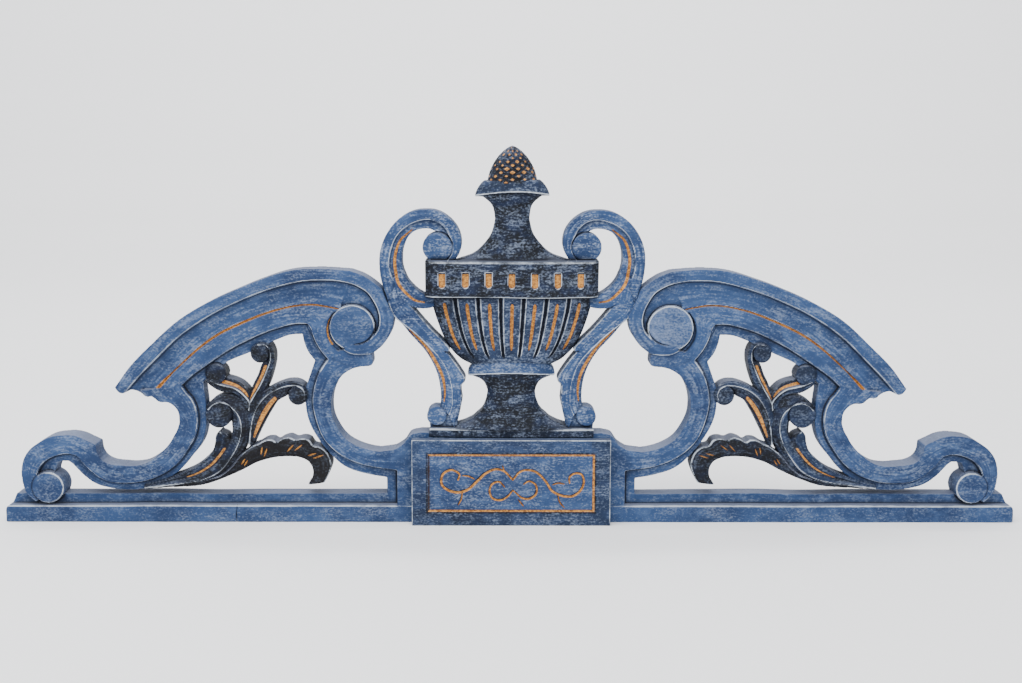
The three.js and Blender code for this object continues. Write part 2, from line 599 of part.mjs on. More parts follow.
// A shallow groove of triangular section along a line on the block's face
function gouge(points, stations, wide) {
  const run = line(points, stations, ([x, z]) => new THREE.Vector2(x, z));
  const rows = run.map((spot, index) => {
    const before = run[Math.max(0, index - 1)];
    const after = run[Math.min(run.length - 1, index + 1)];
    const side = new THREE.Vector2(before.y - after.y, after.x - before.x).normalize();
    const taper = Math.sin((Math.PI * (index + 0.5)) / run.length) * 0.5 + 0.5;
    return [-1, 0, 1].map((step) => ({
      x: spot.x + side.x * step * (wide / 2) * taper,
      z: spot.y + side.y * step * (wide / 2) * taper,
      t: step === 0 ? BLOCK_FRONT - INCISED : BLOCK_FRONT + 0.4,
    }));
  });
  return rows;
}

// A gouge solid lies upside down: its back is above the face and its keel below
function cutter(rows) {
  return relief(rows, BLOCK_FRONT + 2);
}

const ORNAMENT = [
  { wide: 5, steps: 10, points: [[67, 55.5], [72, 64.5], [82, 55], [75, 42.5], [64.5, 40.5], [53, 46], [43, 55.5],
    [29, 63.5], [17.5, 65], [4.5, 54]] },
  { wide: 4, steps: 7, points: [[15, 48], [21, 53.5], [30, 48], [31, 39.5], [23, 33.5], [15, 33], [4, 45]] },
  { wide: 3, steps: 3, points: [[65, 25], [61, 34.5], [61.5, 39.5]] },
  { wide: 3, steps: 3, points: [[60, 58], [51, 59], [46, 57]] },
];

function block() {
  const half = BLOCK_WIDTH / 2;
  const back = Math.max(LIP, PLINTH_FRONT) + GAP;
  const body = board(rectangle(-half, half, 0, BLOCK_HEIGHT), back, BLOCK_FRONT);
  const frameOutside = rectangle(-half + FRAME_INSET, half - FRAME_INSET, FRAME_RISE, BLOCK_HEIGHT - FRAME_RISE);
  const inset = FRAME_INSET + FRAME_GROOVE;
  const lift = FRAME_RISE + FRAME_GROOVE;
  const frameInside = rectangle(-half + inset, half - inset, lift, BLOCK_HEIGHT - lift);
  const ring = board(frameOutside, BLOCK_FRONT - INCISED, BLOCK_FRONT + 1)
    .subtract(board(frameInside, BLOCK_FRONT - INCISED - 1, BLOCK_FRONT + 2));
  const grooves = ORNAMENT.map(({ points, steps, wide }) => cutter(gouge(points, steps, wide)));
  const cuts = [ring, ...grooves, ...grooves.map(mirror)];
  return cuts.reduce((solid, cut) => solid.subtract(cut), body);
}

const PAINT = { color: 0x4a6a99, roughness: 0.72, metalness: 0 };
const GLAZE = { color: 0x2b3a55, roughness: 0.66, metalness: 0 };
const PANEL = { color: 0x3f5c8a, roughness: 0.7, metalness: 0 };

// Corners closer than FINENESS become one, and the slivers between them go
function welded(geometry) {
  const merged = mergeVertices(geometry, FINENESS);
  const faces = merged.index.array;
  const kept = [];
  for (let i = 0; i < faces.length; i += 3) {
    const [a, b, c] = [faces[i], faces[i + 1], faces[i + 2]];
    if (a !== b && b !== c && c !== a) kept.push(a, b, c);
  }
  merged.setIndex(kept);
  return merged;
}

function toMesh(name, solid, finish) {
  const { vertProperties, triVerts, numProp } = solid.getMesh();
  const corners = new Float32Array((vertProperties.length / numProp) * 3);
  for (let i = 0; i < corners.length / 3; i += 1) {
    for (let axis = 0; axis < 3; axis += 1) corners[i * 3 + axis] = vertProperties[i * numProp + axis];
  }
  const joined = new THREE.BufferGeometry();
  joined.setAttribute('position', new THREE.BufferAttribute(corners, 3));
  joined.setIndex(new THREE.BufferAttribute(new Uint32Array(triVerts), 1));
  const geometry = welded(joined);
  geometry.computeVertexNormals();
  const mesh = new THREE.Mesh(geometry, new THREE.MeshStandardMaterial(finish));
  mesh.name = name;
  return mesh;
}

const rightWing = wing();
const headpiece = new THREE.Group();
headpiece.add(
  toMesh('wing_left', mirror(rightWing), PAINT),
  toMesh('wing_right', rightWing, PAINT),
  toMesh('urn', urn(), GLAZE),
  toMesh('centre_block', block(), PANEL),
);

export default headpiece;
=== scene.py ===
# %% [markdown]
# # A carved and painted headpiece
#
# This lesson dresses a pierced wooden headpiece: two scrolled wings on a moulded rail, an urn
# between them and an applied block. The measured model is already there as a frame. We lay
# finely carved boards over it, paint them in worn blue, and light them softly.

# %% Load the measured frame
import math

import bmesh
import bpy
import numpy as np
from mathutils import Matrix, Vector


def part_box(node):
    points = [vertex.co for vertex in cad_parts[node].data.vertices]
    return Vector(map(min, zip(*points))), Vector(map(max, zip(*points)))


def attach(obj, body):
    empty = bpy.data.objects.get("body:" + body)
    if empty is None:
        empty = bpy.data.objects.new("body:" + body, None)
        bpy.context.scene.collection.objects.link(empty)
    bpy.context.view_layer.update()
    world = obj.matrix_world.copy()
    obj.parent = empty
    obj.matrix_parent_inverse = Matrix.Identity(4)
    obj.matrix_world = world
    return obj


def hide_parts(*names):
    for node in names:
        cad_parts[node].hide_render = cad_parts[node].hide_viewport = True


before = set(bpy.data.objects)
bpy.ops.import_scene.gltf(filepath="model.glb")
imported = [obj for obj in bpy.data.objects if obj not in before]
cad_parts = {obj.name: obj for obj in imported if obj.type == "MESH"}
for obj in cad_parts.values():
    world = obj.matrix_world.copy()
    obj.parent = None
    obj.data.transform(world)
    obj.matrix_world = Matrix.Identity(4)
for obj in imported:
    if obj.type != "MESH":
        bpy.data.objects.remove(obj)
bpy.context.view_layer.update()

MM = 0.001

# %% [markdown]
# ## Sizes
#
# The outer sizes come from the frame's boxes, so the fine boards land exactly on the measured ones; the
# levels inside are given as numbers.
# We work in millimetres: x along the rail, z up, and t, the height of the carving above the
# flat back. Relief carvers think the same way: outline first, then levels, then rounding.

# %% Read the sizes off the frame
WING_LOW, WING_HIGH = [np.array(corner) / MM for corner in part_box("wing_right")]
BLOCK_LOW, BLOCK_HIGH = [np.array(corner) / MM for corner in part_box("centre_block")]
BACK = WING_HIGH[1]
JOINT, REACH, WING_TOP = WING_LOW[0], WING_HIGH[0], WING_HIGH[2]
URN_TOP = (np.array(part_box("urn")[1]) / MM)[2]
BLOCK_FRONT = BACK - BLOCK_LOW[1]
BLOCK_BACK = BACK - BLOCK_HIGH[1]
BOARD = 32.0
RAIL_TOP = 32.5
LIP_TOP = 20.5
URN_BOARD = JOINT - 0.3
PLINTH_TOP = 113.0
PLINTH_LOW = 103.4
PLINTH_FRONT = 36.0
print("wing", JOINT.round(1), REACH.round(1), WING_TOP.round(1), "urn", URN_TOP.round(1))

# %% [markdown]
# ## The camera
#
# The object is photographed from a little above its middle with a normal lens. Setting the
# camera first means that every later choice can be judged in the right frame.

# %% Place the camera
FRAME_WIDTH = 1022
FOCAL_PIXELS = 1434
SENSOR = 36.0
CAMERA_AWAY = 1.660
CAMERA_UP = 0.4625
CAMERA_ASIDE = -0.0133
PITCH = math.radians(8.4)
YAW = math.radians(0.44)
ROLL = math.radians(0.17)

ahead = Vector((math.sin(YAW) * math.cos(PITCH), math.cos(YAW) * math.cos(PITCH), -math.sin(PITCH)))
level = Vector((math.cos(YAW), -math.sin(YAW), 0))
over = level.cross(ahead)
side = (level * math.cos(ROLL) + over * math.sin(ROLL)).normalized()
over = side.cross(ahead).normalized()
camera_data = bpy.data.cameras.new("camera")
camera_data.sensor_width = SENSOR
camera_data.lens = SENSOR * FOCAL_PIXELS / FRAME_WIDTH
camera = bpy.data.objects.new("camera", camera_data)
bpy.context.scene.collection.objects.link(camera)
turn = Matrix((side, over, -ahead)).transposed().to_4x4()
place = Vector((CAMERA_ASIDE, (BACK - BOARD) * MM - CAMERA_AWAY, CAMERA_UP))
camera.matrix_world = Matrix.Translation(place) @ turn
bpy.context.scene.camera = camera
print("lens", round(camera_data.lens, 2), "mm")

# %% [markdown]
# ## Drawing lines
#
# Scrollwork is drawn with a few points and a springy curve through them. A centripetal
# Catmull-Rom curve does that without overshooting, and resampling it by length gives rails
# that run evenly beside each other.

# %% Smooth lines through a few points
def smooth(points, density=24):
    spots = np.asarray(points, float)
    ends = np.vstack([2 * spots[0] - spots[1], spots, 2 * spots[-1] - spots[-2]])
    gaps = np.maximum(np.linalg.norm(np.diff(ends, axis=0), axis=1), 1e-6) ** 0.5
    run = []
    for i in range(1, len(ends) - 2):
        a, b, c, d = ends[i - 1:i + 3]
        before, span, after = gaps[i - 1:i + 2]
        enter = ((b - a) / before - (c - a) / (before + span) + (c - b) / span) * span
        leave = ((c - b) / span - (d - b) / (span + after) + (d - c) / after) * span
        t = np.linspace(0, 1, density, endpoint=False)[:, None]
        run.append((2 * t**3 - 3 * t**2 + 1) * b + (t**3 - 2 * t**2 + t) * enter
                   + (3 * t**2 - 2 * t**3) * c + (t**3 - t**2) * leave)
    return np.vstack(run + [spots[-1:]])


def evenly(line, count):
    steps = np.linalg.norm(np.diff(line, axis=0), axis=1)
    along = np.concatenate([[0], np.cumsum(steps)])
    where = np.linspace(0, along[-1], count)
    return np.stack([np.interp(where, along, line[:, axis]) for axis in (0, 1)], axis=1)


def rail(counts, *parts, place=np.asarray):
    runs = [evenly(smooth(place(np.reshape(part, (-1, 2)).astype(float))), count)
            for part, count in zip(parts, np.atleast_1d(counts))]
    return np.vstack([runs[0]] + [run[1:] for run in runs[1:]])


def unit(value):
    return np.clip(value, 0, 1)


def soft_line(away, width):
    return np.exp(-(away / width) ** 2)


print("a smooth line of", len(smooth([[0, 0], [10, 5], [20, 0]])), "points")

# %% [markdown]
# ## From the drawing to the boards
#
# The scrolls were drawn at one size, on lists that give out and up in turn. Stretching that
# drawing to the frame's boxes keeps every curve on its board if the part is made larger.

# %% Fit the drawing to the boards
DRAWN_JOINT, DRAWN_REACH, DRAWN_RAIL, DRAWN_TOP = 96.8, 600.0, 32.5, 301.6
DRAWN_HALF, DRAWN_PLINTH, DRAWN_TIP = 96.5, 113.0, 444.0


def on_wing(spots):
    out, up = np.moveaxis(np.asarray(spots, float), -1, 0)
    out = JOINT + (out - DRAWN_JOINT) * (REACH - JOINT) / (DRAWN_REACH - DRAWN_JOINT)
    up = RAIL_TOP + (up - DRAWN_RAIL) * (WING_TOP - RAIL_TOP) / (DRAWN_TOP - DRAWN_RAIL)
    return np.stack([out, up], axis=-1)


def on_urn(spots):
    out, up = np.moveaxis(np.asarray(spots, float), -1, 0)
    up = PLINTH_TOP + (up - DRAWN_PLINTH) * (URN_TOP - PLINTH_TOP) / (DRAWN_TIP - DRAWN_PLINTH)
    return np.stack([out * URN_BOARD / DRAWN_HALF, up], axis=-1)


def wing_rail(counts, *parts):
    return rail(counts, *parts, place=on_wing)


def urn_height(drawn):
    return on_urn([0, drawn])[1]


print("the drawn wing reaches to", on_wing([DRAWN_REACH, DRAWN_TOP]).round(1))

# %% [markdown]
# ## Blur and slow waves
#
# Two raster tools are needed throughout: a Gaussian blur, which is one kernel run along each
# axis, and a seeded noise that is stretched from a coarse grid, for brush marks and warping.

# %% Blur a raster and make waves
def blurred(field, radius):
    kernel = np.exp(-0.5 * (np.arange(-int(3 * radius) - 1, int(3 * radius) + 2) / radius) ** 2)
    kernel /= kernel.sum()
    pad = len(kernel) // 2
    for axis in (0, 1):
        padded = np.pad(field, [(pad, pad) if axis == a else (0, 0) for a in (0, 1)], mode="edge")
        size = field.shape[axis]
        field = sum(weight * np.take(padded, np.arange(shift, shift + size), axis=axis)
                    for shift, weight in enumerate(kernel))
    return field


def patches(shape, cells, seed):
    counts = [max(4, int(round(size / cell)) + 4) for size, cell in zip(shape, cells)]
    coarse = np.random.default_rng(seed).normal(size=counts)
    for axis, size in ((0, shape[0]), (1, shape[1])):
        where = np.linspace(1, coarse.shape[axis] - 3.001, size)
        low = where.astype(int)
        share = where - low
        share = share * share * (3 - 2 * share)
        share = share[:, None] if axis == 0 else share[None, :]
        here, after = np.take(coarse, low, axis=axis), np.take(coarse, low + 1, axis=axis)
        coarse = here * (1 - share) + after * share
    return coarse


print("a blurred step", blurred(np.repeat([[0.0, 1.0]], 2, axis=0), 1.0)[0].round(2))

# %% [markdown]
# ## A board to carve
#
# A relief is a height over a flat drawing, so we carve on a fine raster. Each tool stamps
# heights and paint marks onto it, and the highest stamp wins, as a carver leaves the highest
# form standing. Carving this way beats joining hundreds of small solids: forms flow into each
# other, and the same raster later says where paint wears and dirt gathers.

# %% The raster board and its carving tools
MARKS = ("gilt", "dark", "pale", "brush")
BRUSH_WIDE, BRUSH_LONG = 1.7, 24.0
FINE = 3


class Board:
    def __init__(self, low, high, cell):
        self.cell = cell
        self.low = np.array(low, float) - 2 * cell
        self.count = [int(math.ceil((h - l) / cell)) + 5 for l, h in zip(low, high)]
        self.fine = cell / FINE
        self.shape = (self.count[1] * FINE, self.count[0] * FINE)
        self.height = np.full(self.shape, -1.0, np.float32)
        self.marks = {mark: np.zeros(self.shape, np.float32) for mark in MARKS}
        axis_x = self.low[0] + (np.arange(self.shape[1]) + 0.5) * self.fine - 0.5 * cell
        axis_z = self.low[1] + (np.arange(self.shape[0]) + 0.5) * self.fine - 0.5 * cell
        self.x, self.z = np.meshgrid(axis_x, axis_z)

    def put(self, where, height, **marks):
        wins = where & (height > self.height)
        self.height[wins] = np.broadcast_to(height, self.shape)[wins]
        for mark in MARKS:
            self.marks[mark][wins] = np.broadcast_to(marks.get(mark, 0.0), self.shape)[wins]

    def stamp(self, x, z, height, **marks):
        column = np.round((x - self.x[0, 0]) / self.fine).astype(int)
        row = np.round((z - self.z[0, 0]) / self.fine).astype(int)
        good = (column >= 0) & (column < self.shape[1]) & (row >= 0) & (row < self.shape[0])
        order = np.argsort(height[good], kind="stable")
        flat = (row[good] * self.shape[1] + column[good])[order]
        layer = np.full(self.shape, -1.0, np.float32)
        layer.ravel()[flat] = height[good][order]
        shades = {}
        for mark, value in marks.items():
            shade = np.zeros(self.shape, np.float32)
            shade.ravel()[flat] = value[good][order]
            shades[mark] = shade
        self.put(layer >= 0, layer, **shades)

    def moulding(self, rails, section, lift=None, gilt_run=(0.0, 1.0)):
        count = len(rails[0])
        along = np.linspace(0, 1, count)
        run = unit(np.minimum(along - gilt_run[0], gilt_run[1] - along) / 0.02 + 1)
        lift = np.zeros(count) if lift is None else lift
        pace = np.linalg.norm(np.diff(rails[0], axis=0), axis=1).mean()
        knots = []
        for rail_at, shift, height, *mark in section:
            start = min(int(rail_at), len(rails) - 2)
            near, far = rails[start], rails[start + 1]
            span = np.maximum(np.linalg.norm(far - near, axis=1, keepdims=True), 1e-6)
            spot = near + (far - near) * (rail_at - start + shift / span)
            knots.append((spot, height + lift, mark[0] if mark else {}))
        for (a, high_a, mark_a), (b, high_b, mark_b) in zip(knots, knots[1:]):
            reach = np.linalg.norm(b - a, axis=1).max()
            share = np.linspace(0, 1, int(reach / (0.7 * self.fine)) + 2)[:, None]
            x = a[None, :, 0] + (b - a)[None, :, 0] * share
            z = a[None, :, 1] + (b - a)[None, :, 1] * share
            height = high_a + (high_b - high_a) * share
            values = {}
            for mark in MARKS:
                before, after = mark_a.get(mark, 0.0), mark_b.get(mark, 0.0)
                value = np.broadcast_to(before + (after - before) * share, x.shape)
                values[mark] = (value * run if mark == "gilt" else value).ravel()
            if reach > 2:
                cells = (BRUSH_WIDE * len(share) / reach, BRUSH_LONG / pace)
                values["brush"] = patches(x.shape, cells, int(10 * reach) + count).ravel()
            self.stamp(x.ravel(), z.ravel(), np.broadcast_to(height, x.shape).ravel(), **values)

    def away(self, centre):
        return np.hypot(self.x - centre[0], self.z - centre[1])

    def disc(self, centre, radius, height, dome=0.0, edge=1.0, **marks):
        away = self.away(centre)
        share = unit(away / radius)
        rim = unit((away - radius + edge) / edge)
        self.put(away <= radius, height - dome * share**2 - 0.9 * edge * rim**2, **marks)

    def inside(self, outline):
        result = np.zeros(self.shape, bool)
        low, high = outline.min(axis=0), outline.max(axis=0)
        columns = (self.x[0] >= low[0]) & (self.x[0] <= high[0])
        rows = (self.z[:, 0] >= low[1]) & (self.z[:, 0] <= high[1])
        x, z = self.x[np.ix_(rows, columns)], self.z[np.ix_(rows, columns)]
        odd = np.zeros(x.shape, bool)
        for (ax, az), (bx, bz) in zip(outline, np.roll(outline, -1, axis=0)):
            if az == bz:
                continue
            crosses = (az > z) != (bz > z)
            odd ^= crosses & (x < (bx - ax) * (z - az) / (bz - az) + ax)
        result[np.ix_(rows, columns)] = odd
        return result

    def plate(self, outline, height, **marks):
        self.put(self.inside(outline), height, **marks)

    def cut(self, where):
        self.height[where] = -1.0

    def tint(self, mark, amount):
        self.marks[mark] = np.maximum(self.marks[mark], amount)

    def shaded_moat(self, ring, depth, above=20, strength=1.0):
        self.height -= (depth * ring * (self.height > above)).astype(np.float32)
        # painted shade: the cut ring is painted dark
        self.tint("dark", strength * ring)

    def stroke(self, line, width, depth=0.0, mark=None, taper=1.0, strength=1.0):
        low, high = line.min(axis=0) - width, line.max(axis=0) + width
        columns = np.where((self.x[0] >= low[0]) & (self.x[0] <= high[0]))[0]
        rows = np.where((self.z[:, 0] >= low[1]) & (self.z[:, 0] <= high[1]))[0]
        if not len(rows) or not len(columns):
            return
        window = np.ix_(rows, columns)
        x, z = self.x[window], self.z[window]
        near = np.full(x.shape, np.inf)
        share = np.zeros(x.shape)
        for i, (px, pz) in enumerate(line):
            away = (x - px) ** 2 + (z - pz) ** 2
            closer = away < near
            near[closer] = away[closer]
            share[closer] = i / max(1, len(line) - 1)
        half = 0.5 * width * (1 - taper + taper * np.sin(np.pi * np.clip(share, 0.02, 0.98)) ** 0.6)
        across = unit(np.sqrt(near) / np.maximum(half, 1e-3))
        height = self.height[window]
        cut = np.where(height > 0, depth * (1 - across**2), 0)
        self.height[window] = np.where(height > 0, height - cut, height)
        if mark:
            shade = self.marks[mark][window]
            paint_on = strength * unit(1.5 * (1 - across**2))
            self.marks[mark][window] = np.maximum(shade, paint_on * (height > 0))


print("a board is", FINE, "times finer while it is carved")

# %% [markdown]
# ## From raster to mesh
#
# The carved raster is thinned to one value per cell, which evens out the last ripples. Pinholes
# are closed first, and empty cells beside the wood borrow its height, so that the edge of a
# board doesn't sag where a cell is only partly filled.

# %% Thin the raster to cells
AROUND = ((0, 1), (0, -1), (1, 0), (-1, 0))


def moved(field):
    return [np.roll(field, move, axis=(0, 1)) for move in AROUND]


def thin(field):
    rows, columns = field.shape[0] // FINE, field.shape[1] // FINE
    return field.reshape(rows, FINE, columns, FINE).mean(axis=(1, 3))


def closed_gaps(board):
    for _ in range(2):
        best = np.full(board.shape, -1.0, np.float32)
        for neighbour in moved(board.height):
            best = np.maximum(best, neighbour)
        around = sum((neighbour >= 0).astype(int) for neighbour in moved(board.height))
        gaps = (board.height < 0) & (around >= 3)
        board.height[gaps] = best[gaps]


def thinned(board):
    closed_gaps(board)
    filled = (board.height >= 0).astype(np.float32)
    amount = thin(blurred(filled, 0.8))
    solid = np.maximum(thin(filled), 1e-6)
    height = thin(np.where(board.height >= 0, board.height, 0)) / solid
    marks = [thin(board.marks[mark] * filled) / solid for mark in MARKS]
    empty = thin(filled) < 0.05
    for _ in range(2):
        near = sum(moved(np.where(empty, 0, height)))
        count = sum(side.astype(float) for side in moved(~empty))
        fill = empty & (count > 0)
        height[fill] = near[fill] / count[fill]
        empty = empty & ~fill
    return amount, height, marks


print("each cell looks at", len(AROUND), "neighbours")

# %% [markdown]
# ## Age in the surface
#
# No carved board is quite flat or quite straight. Slow waves of a seeded noise move the surface
# and the lines by fractions of a millimetre. Arrises that stand above a blurred copy of the
# surface are worn, and hollows below it take dirt and painted shade: two more attributes for
# the paint.

# %% Weather a thinned board
SURFACE = 2
WEAR = 3
DARK_COLUMN = WEAR + 2 + MARKS.index("dark")
PALE_COLUMN = WEAR + 2 + MARKS.index("pale")
WAVES = ((13, 16, 1.0), (2.6, 42, 0.3), (4.5, 5, 0.25))


def weathered(board, amount, height, marks, seed, relief, warp):
    cell, shape = board.cell, height.shape
    carve = 0
    for turn_of, (across, along, strength) in enumerate(WAVES):
        carve = carve + strength * relief * patches(shape, (across / cell, along / cell), seed + turn_of)
    fallen = np.where(amount >= 0.5, height, height - 1.6)
    smoothed, broad = blurred(fallen, 1.1 / cell), blurred(fallen, 4.0 / cell)
    wear = unit((height - smoothed - 0.25) / 0.9)
    # hollow: below the blurred surface, painted with dirt and painted shade
    hollow = unit((smoothed - height) / 1.4) + np.clip((broad - height) / 4.0, 0, 0.7)
    edge = unit((amount - 0.5) / 0.5)
    height = height + carve * unit(height / 10) - 0.8 * (1 - edge) ** 2
    x = board.low[0] + np.arange(shape[1]) * cell
    z = board.low[1] + np.arange(shape[0]) * cell
    grid_x, grid_z = np.meshgrid(x, z)
    pinned = unit(grid_z / 30)
    grid_x = grid_x + warp * patches(shape, (60 / cell, 60 / cell), seed + 3) * pinned
    grid_z = grid_z + warp * patches(shape, (55 / cell, 65 / cell), seed + 4) * pinned
    layers = [grid_x, grid_z, height, wear, hollow] + marks
    return np.stack(layers, axis=-1).reshape(-1, len(layers))


print("the paint reads", 2 + len(MARKS), "attributes")

# %% [markdown]
# ## Faces where there is wood
#
# Cells that the outline crosses are clipped where the wood ends, so edges stay smooth instead
# of stepped. That is marching squares: a cell's four corners make one of sixteen patterns, and
# each pattern has its own loop of corners and crossing points.

# %% March over the cells
NEAREST, FARTHEST = 0.08, 0.92
EDGE_DROP = 0.25


def loops_of(pattern):
    present = [bool(pattern >> k & 1) for k in range(4)]
    if pattern in (5, 10):
        return [[("m", (k + 3) % 4), ("c", k), ("m", k)] for k in range(4) if present[k]]
    loop = []
    for k in range(4):
        if present[k]:
            loop.append(("c", k))
        if present[k] != present[(k + 1) % 4]:
            loop.append(("m", k))
    return [loop]


def marched(values, amount):
    rows, columns = amount.shape
    amount = amount.ravel()
    inside = amount >= 0.5
    index = np.full(rows * columns, -1)
    keep = np.flatnonzero(inside)
    index[keep] = np.arange(len(keep))
    vertices = [values[keep]]

    def crossings(first, second):
        crossed = inside[first] != inside[second]
        a, b = first[crossed], second[crossed]
        share = np.clip((0.5 - amount[a]) / (amount[b] - amount[a]), NEAREST, FARTHEST)[:, None]
        new = values[a] * (1 - share) + values[b] * share
        new[:, SURFACE:] = np.where(inside[a][:, None], values[a], values[b])[:, SURFACE:]
        new[:, SURFACE] -= EDGE_DROP
        result = np.full(len(first), -1)
        result[crossed] = sum(len(part) for part in vertices) + np.arange(len(a))
        vertices.append(new)
        return result

    node = np.arange(rows * columns).reshape(rows, columns)
    along = crossings(node[:, :-1].ravel(), node[:, 1:].ravel()).reshape(rows, columns - 1)
    upward = crossings(node[:-1].ravel(), node[1:].ravel()).reshape(rows - 1, columns)
    corner = [index[c] for c in (node[:-1, :-1], node[:-1, 1:], node[1:, 1:], node[1:, :-1])]
    middle = [along[:-1], upward[:, 1:], along[1:], upward[:, :-1]]
    case = sum((c >= 0).astype(int) << k for k, c in enumerate(corner))
    faces, rims = [], []
    for pattern in range(1, 16):
        chosen = case == pattern
        if not chosen.any():
            continue
        for loop in loops_of(pattern):
            ids = np.stack([(corner[k] if kind == "c" else middle[k])[chosen] for kind, k in loop], axis=1)
            faces += [ids[:, [0, k, k + 1]] for k in range(1, len(loop) - 1)]
            for k in range(len(loop)):
                after = (k + 1) % len(loop)
                if loop[k][0] == "m" and loop[after][0] == "m":
                    rims.append(ids[:, [k, after]])
    return np.vstack(vertices), np.vstack(faces), np.vstack(rims)


print("patterns with one loop", sum(len(loops_of(pattern)) == 1 for pattern in range(1, 16)))

# %% [markdown]
# ## Walls, a flat back and a Blender mesh
#
# Upright walls go down from the rim to the back: first a short step that keeps the arris crisp,
# then one tall face, because sawn edges are plain. The back is one filled outline. The paint
# marks travel as attributes on the vertices and fade out behind.

# %% Turn a board into a closed mesh
ARRIS = 1.4
FADE = 0.25
BACK_DARK, BACK_KEEP = 0.25, 0.6
SHARP = math.radians(48)


def with_walls(vertices, faces, rims, back):
    rim_ids = np.unique(rims)
    lookup = np.full(len(vertices), -1)
    lookup[rim_ids] = np.arange(len(rim_ids))
    ring = vertices[rim_ids].copy()
    ring[:, SURFACE] -= ARRIS
    ring[:, WEAR] *= FADE
    ring[:, PALE_COLUMN:] *= FADE
    foot = ring.copy()
    foot[:, SURFACE] = back
    foot[:, WEAR:DARK_COLUMN] = 0
    foot[:, DARK_COLUMN] = BACK_DARK + BACK_KEEP * foot[:, DARK_COLUMN]
    foot[:, PALE_COLUMN:] = 0
    a, b = rims[:, 0], rims[:, 1]
    ring_a, ring_b = len(vertices) + lookup[a], len(vertices) + lookup[b]
    foot_a, foot_b = ring_a + len(ring), ring_b + len(ring)
    walls = [np.stack(corners, axis=1) for corners in (
        (b, a, ring_a), (b, ring_a, ring_b), (ring_b, ring_a, foot_a), (ring_b, foot_a, foot_b))]
    return np.vstack([vertices, ring, foot]), np.vstack([faces] + walls)


def board_mesh(name, board, mirror, seed, relief=0.22, warp=0.5, back=0.0):
    amount, height, marks = thinned(board)
    values = weathered(board, amount, height, marks, seed, relief, warp)
    vertices, faces = with_walls(*marched(values, amount), back)
    if mirror:
        vertices[:, 0] *= -1
        faces = faces[:, ::-1]
    places = np.stack([vertices[:, 0], BACK - vertices[:, SURFACE], vertices[:, 1]], axis=1) * MM
    places[:, 2] = np.maximum(places[:, 2], 0)
    mesh = bpy.data.meshes.new(name)
    mesh.vertices.add(len(places))
    mesh.vertices.foreach_set("co", places.ravel())
    mesh.loops.add(faces.size)
    mesh.loops.foreach_set("vertex_index", faces.ravel().astype(np.int32))
    mesh.polygons.add(len(faces))
    mesh.polygons.foreach_set("loop_start", np.arange(0, faces.size, 3, dtype=np.int32))
    mesh.update(calc_edges=True)
    for column, attribute in enumerate(("wear", "hollow") + MARKS, start=WEAR):
        layer = mesh.attributes.new(attribute, "FLOAT", "POINT")
        layer.data.foreach_set("value", vertices[:, column].astype(np.float32))
    shell = bmesh.new()
    shell.from_mesh(mesh)
    border = [edge for edge in shell.edges if edge.is_boundary]
    bmesh.ops.triangle_fill(shell, edges=border, use_beauty=False, use_dissolve=False, normal=(0, 1, 0))
    bmesh.ops.recalc_face_normals(shell, faces=shell.faces)
    shell.to_mesh(mesh)
    shell.free()
    mesh.shade_smooth()
    mesh.set_sharp_from_angle(angle=SHARP)
    return mesh


def add_piece(name, mesh, node, material):
    piece = bpy.data.objects.new(name, mesh)
    bpy.context.scene.collection.objects.link(piece)
    mesh.materials.append(material)
    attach(piece, "root")
    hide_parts(node)
    print(name, len(mesh.polygons), "triangles")
    return piece


print("boards can be meshed")

# %% [markdown]
# ## The wing: the arch
#
# The arch is a bundle of mouldings that follow one sweep: a raised fillet, a cove, a gilt
# quirk, a flat band, and a sunk strip round the opening. A section table says, for each knot,
# which rail it lies on, how far it is shifted, how high it stands and how it is painted.

# %% Carve the arch
SMALL = 0.9
GILT = {"gilt": 1.0}
PALE = {"pale": 1.0}
FAINT = {"pale": 0.55}
FILLET = [(0, 0, 33.2), (0, 1.2, 34), (0.5, 0, 34.3), (1, -1.2, 34.1), (1, -0.6, 34, PALE), (1, 0, 33.2)]


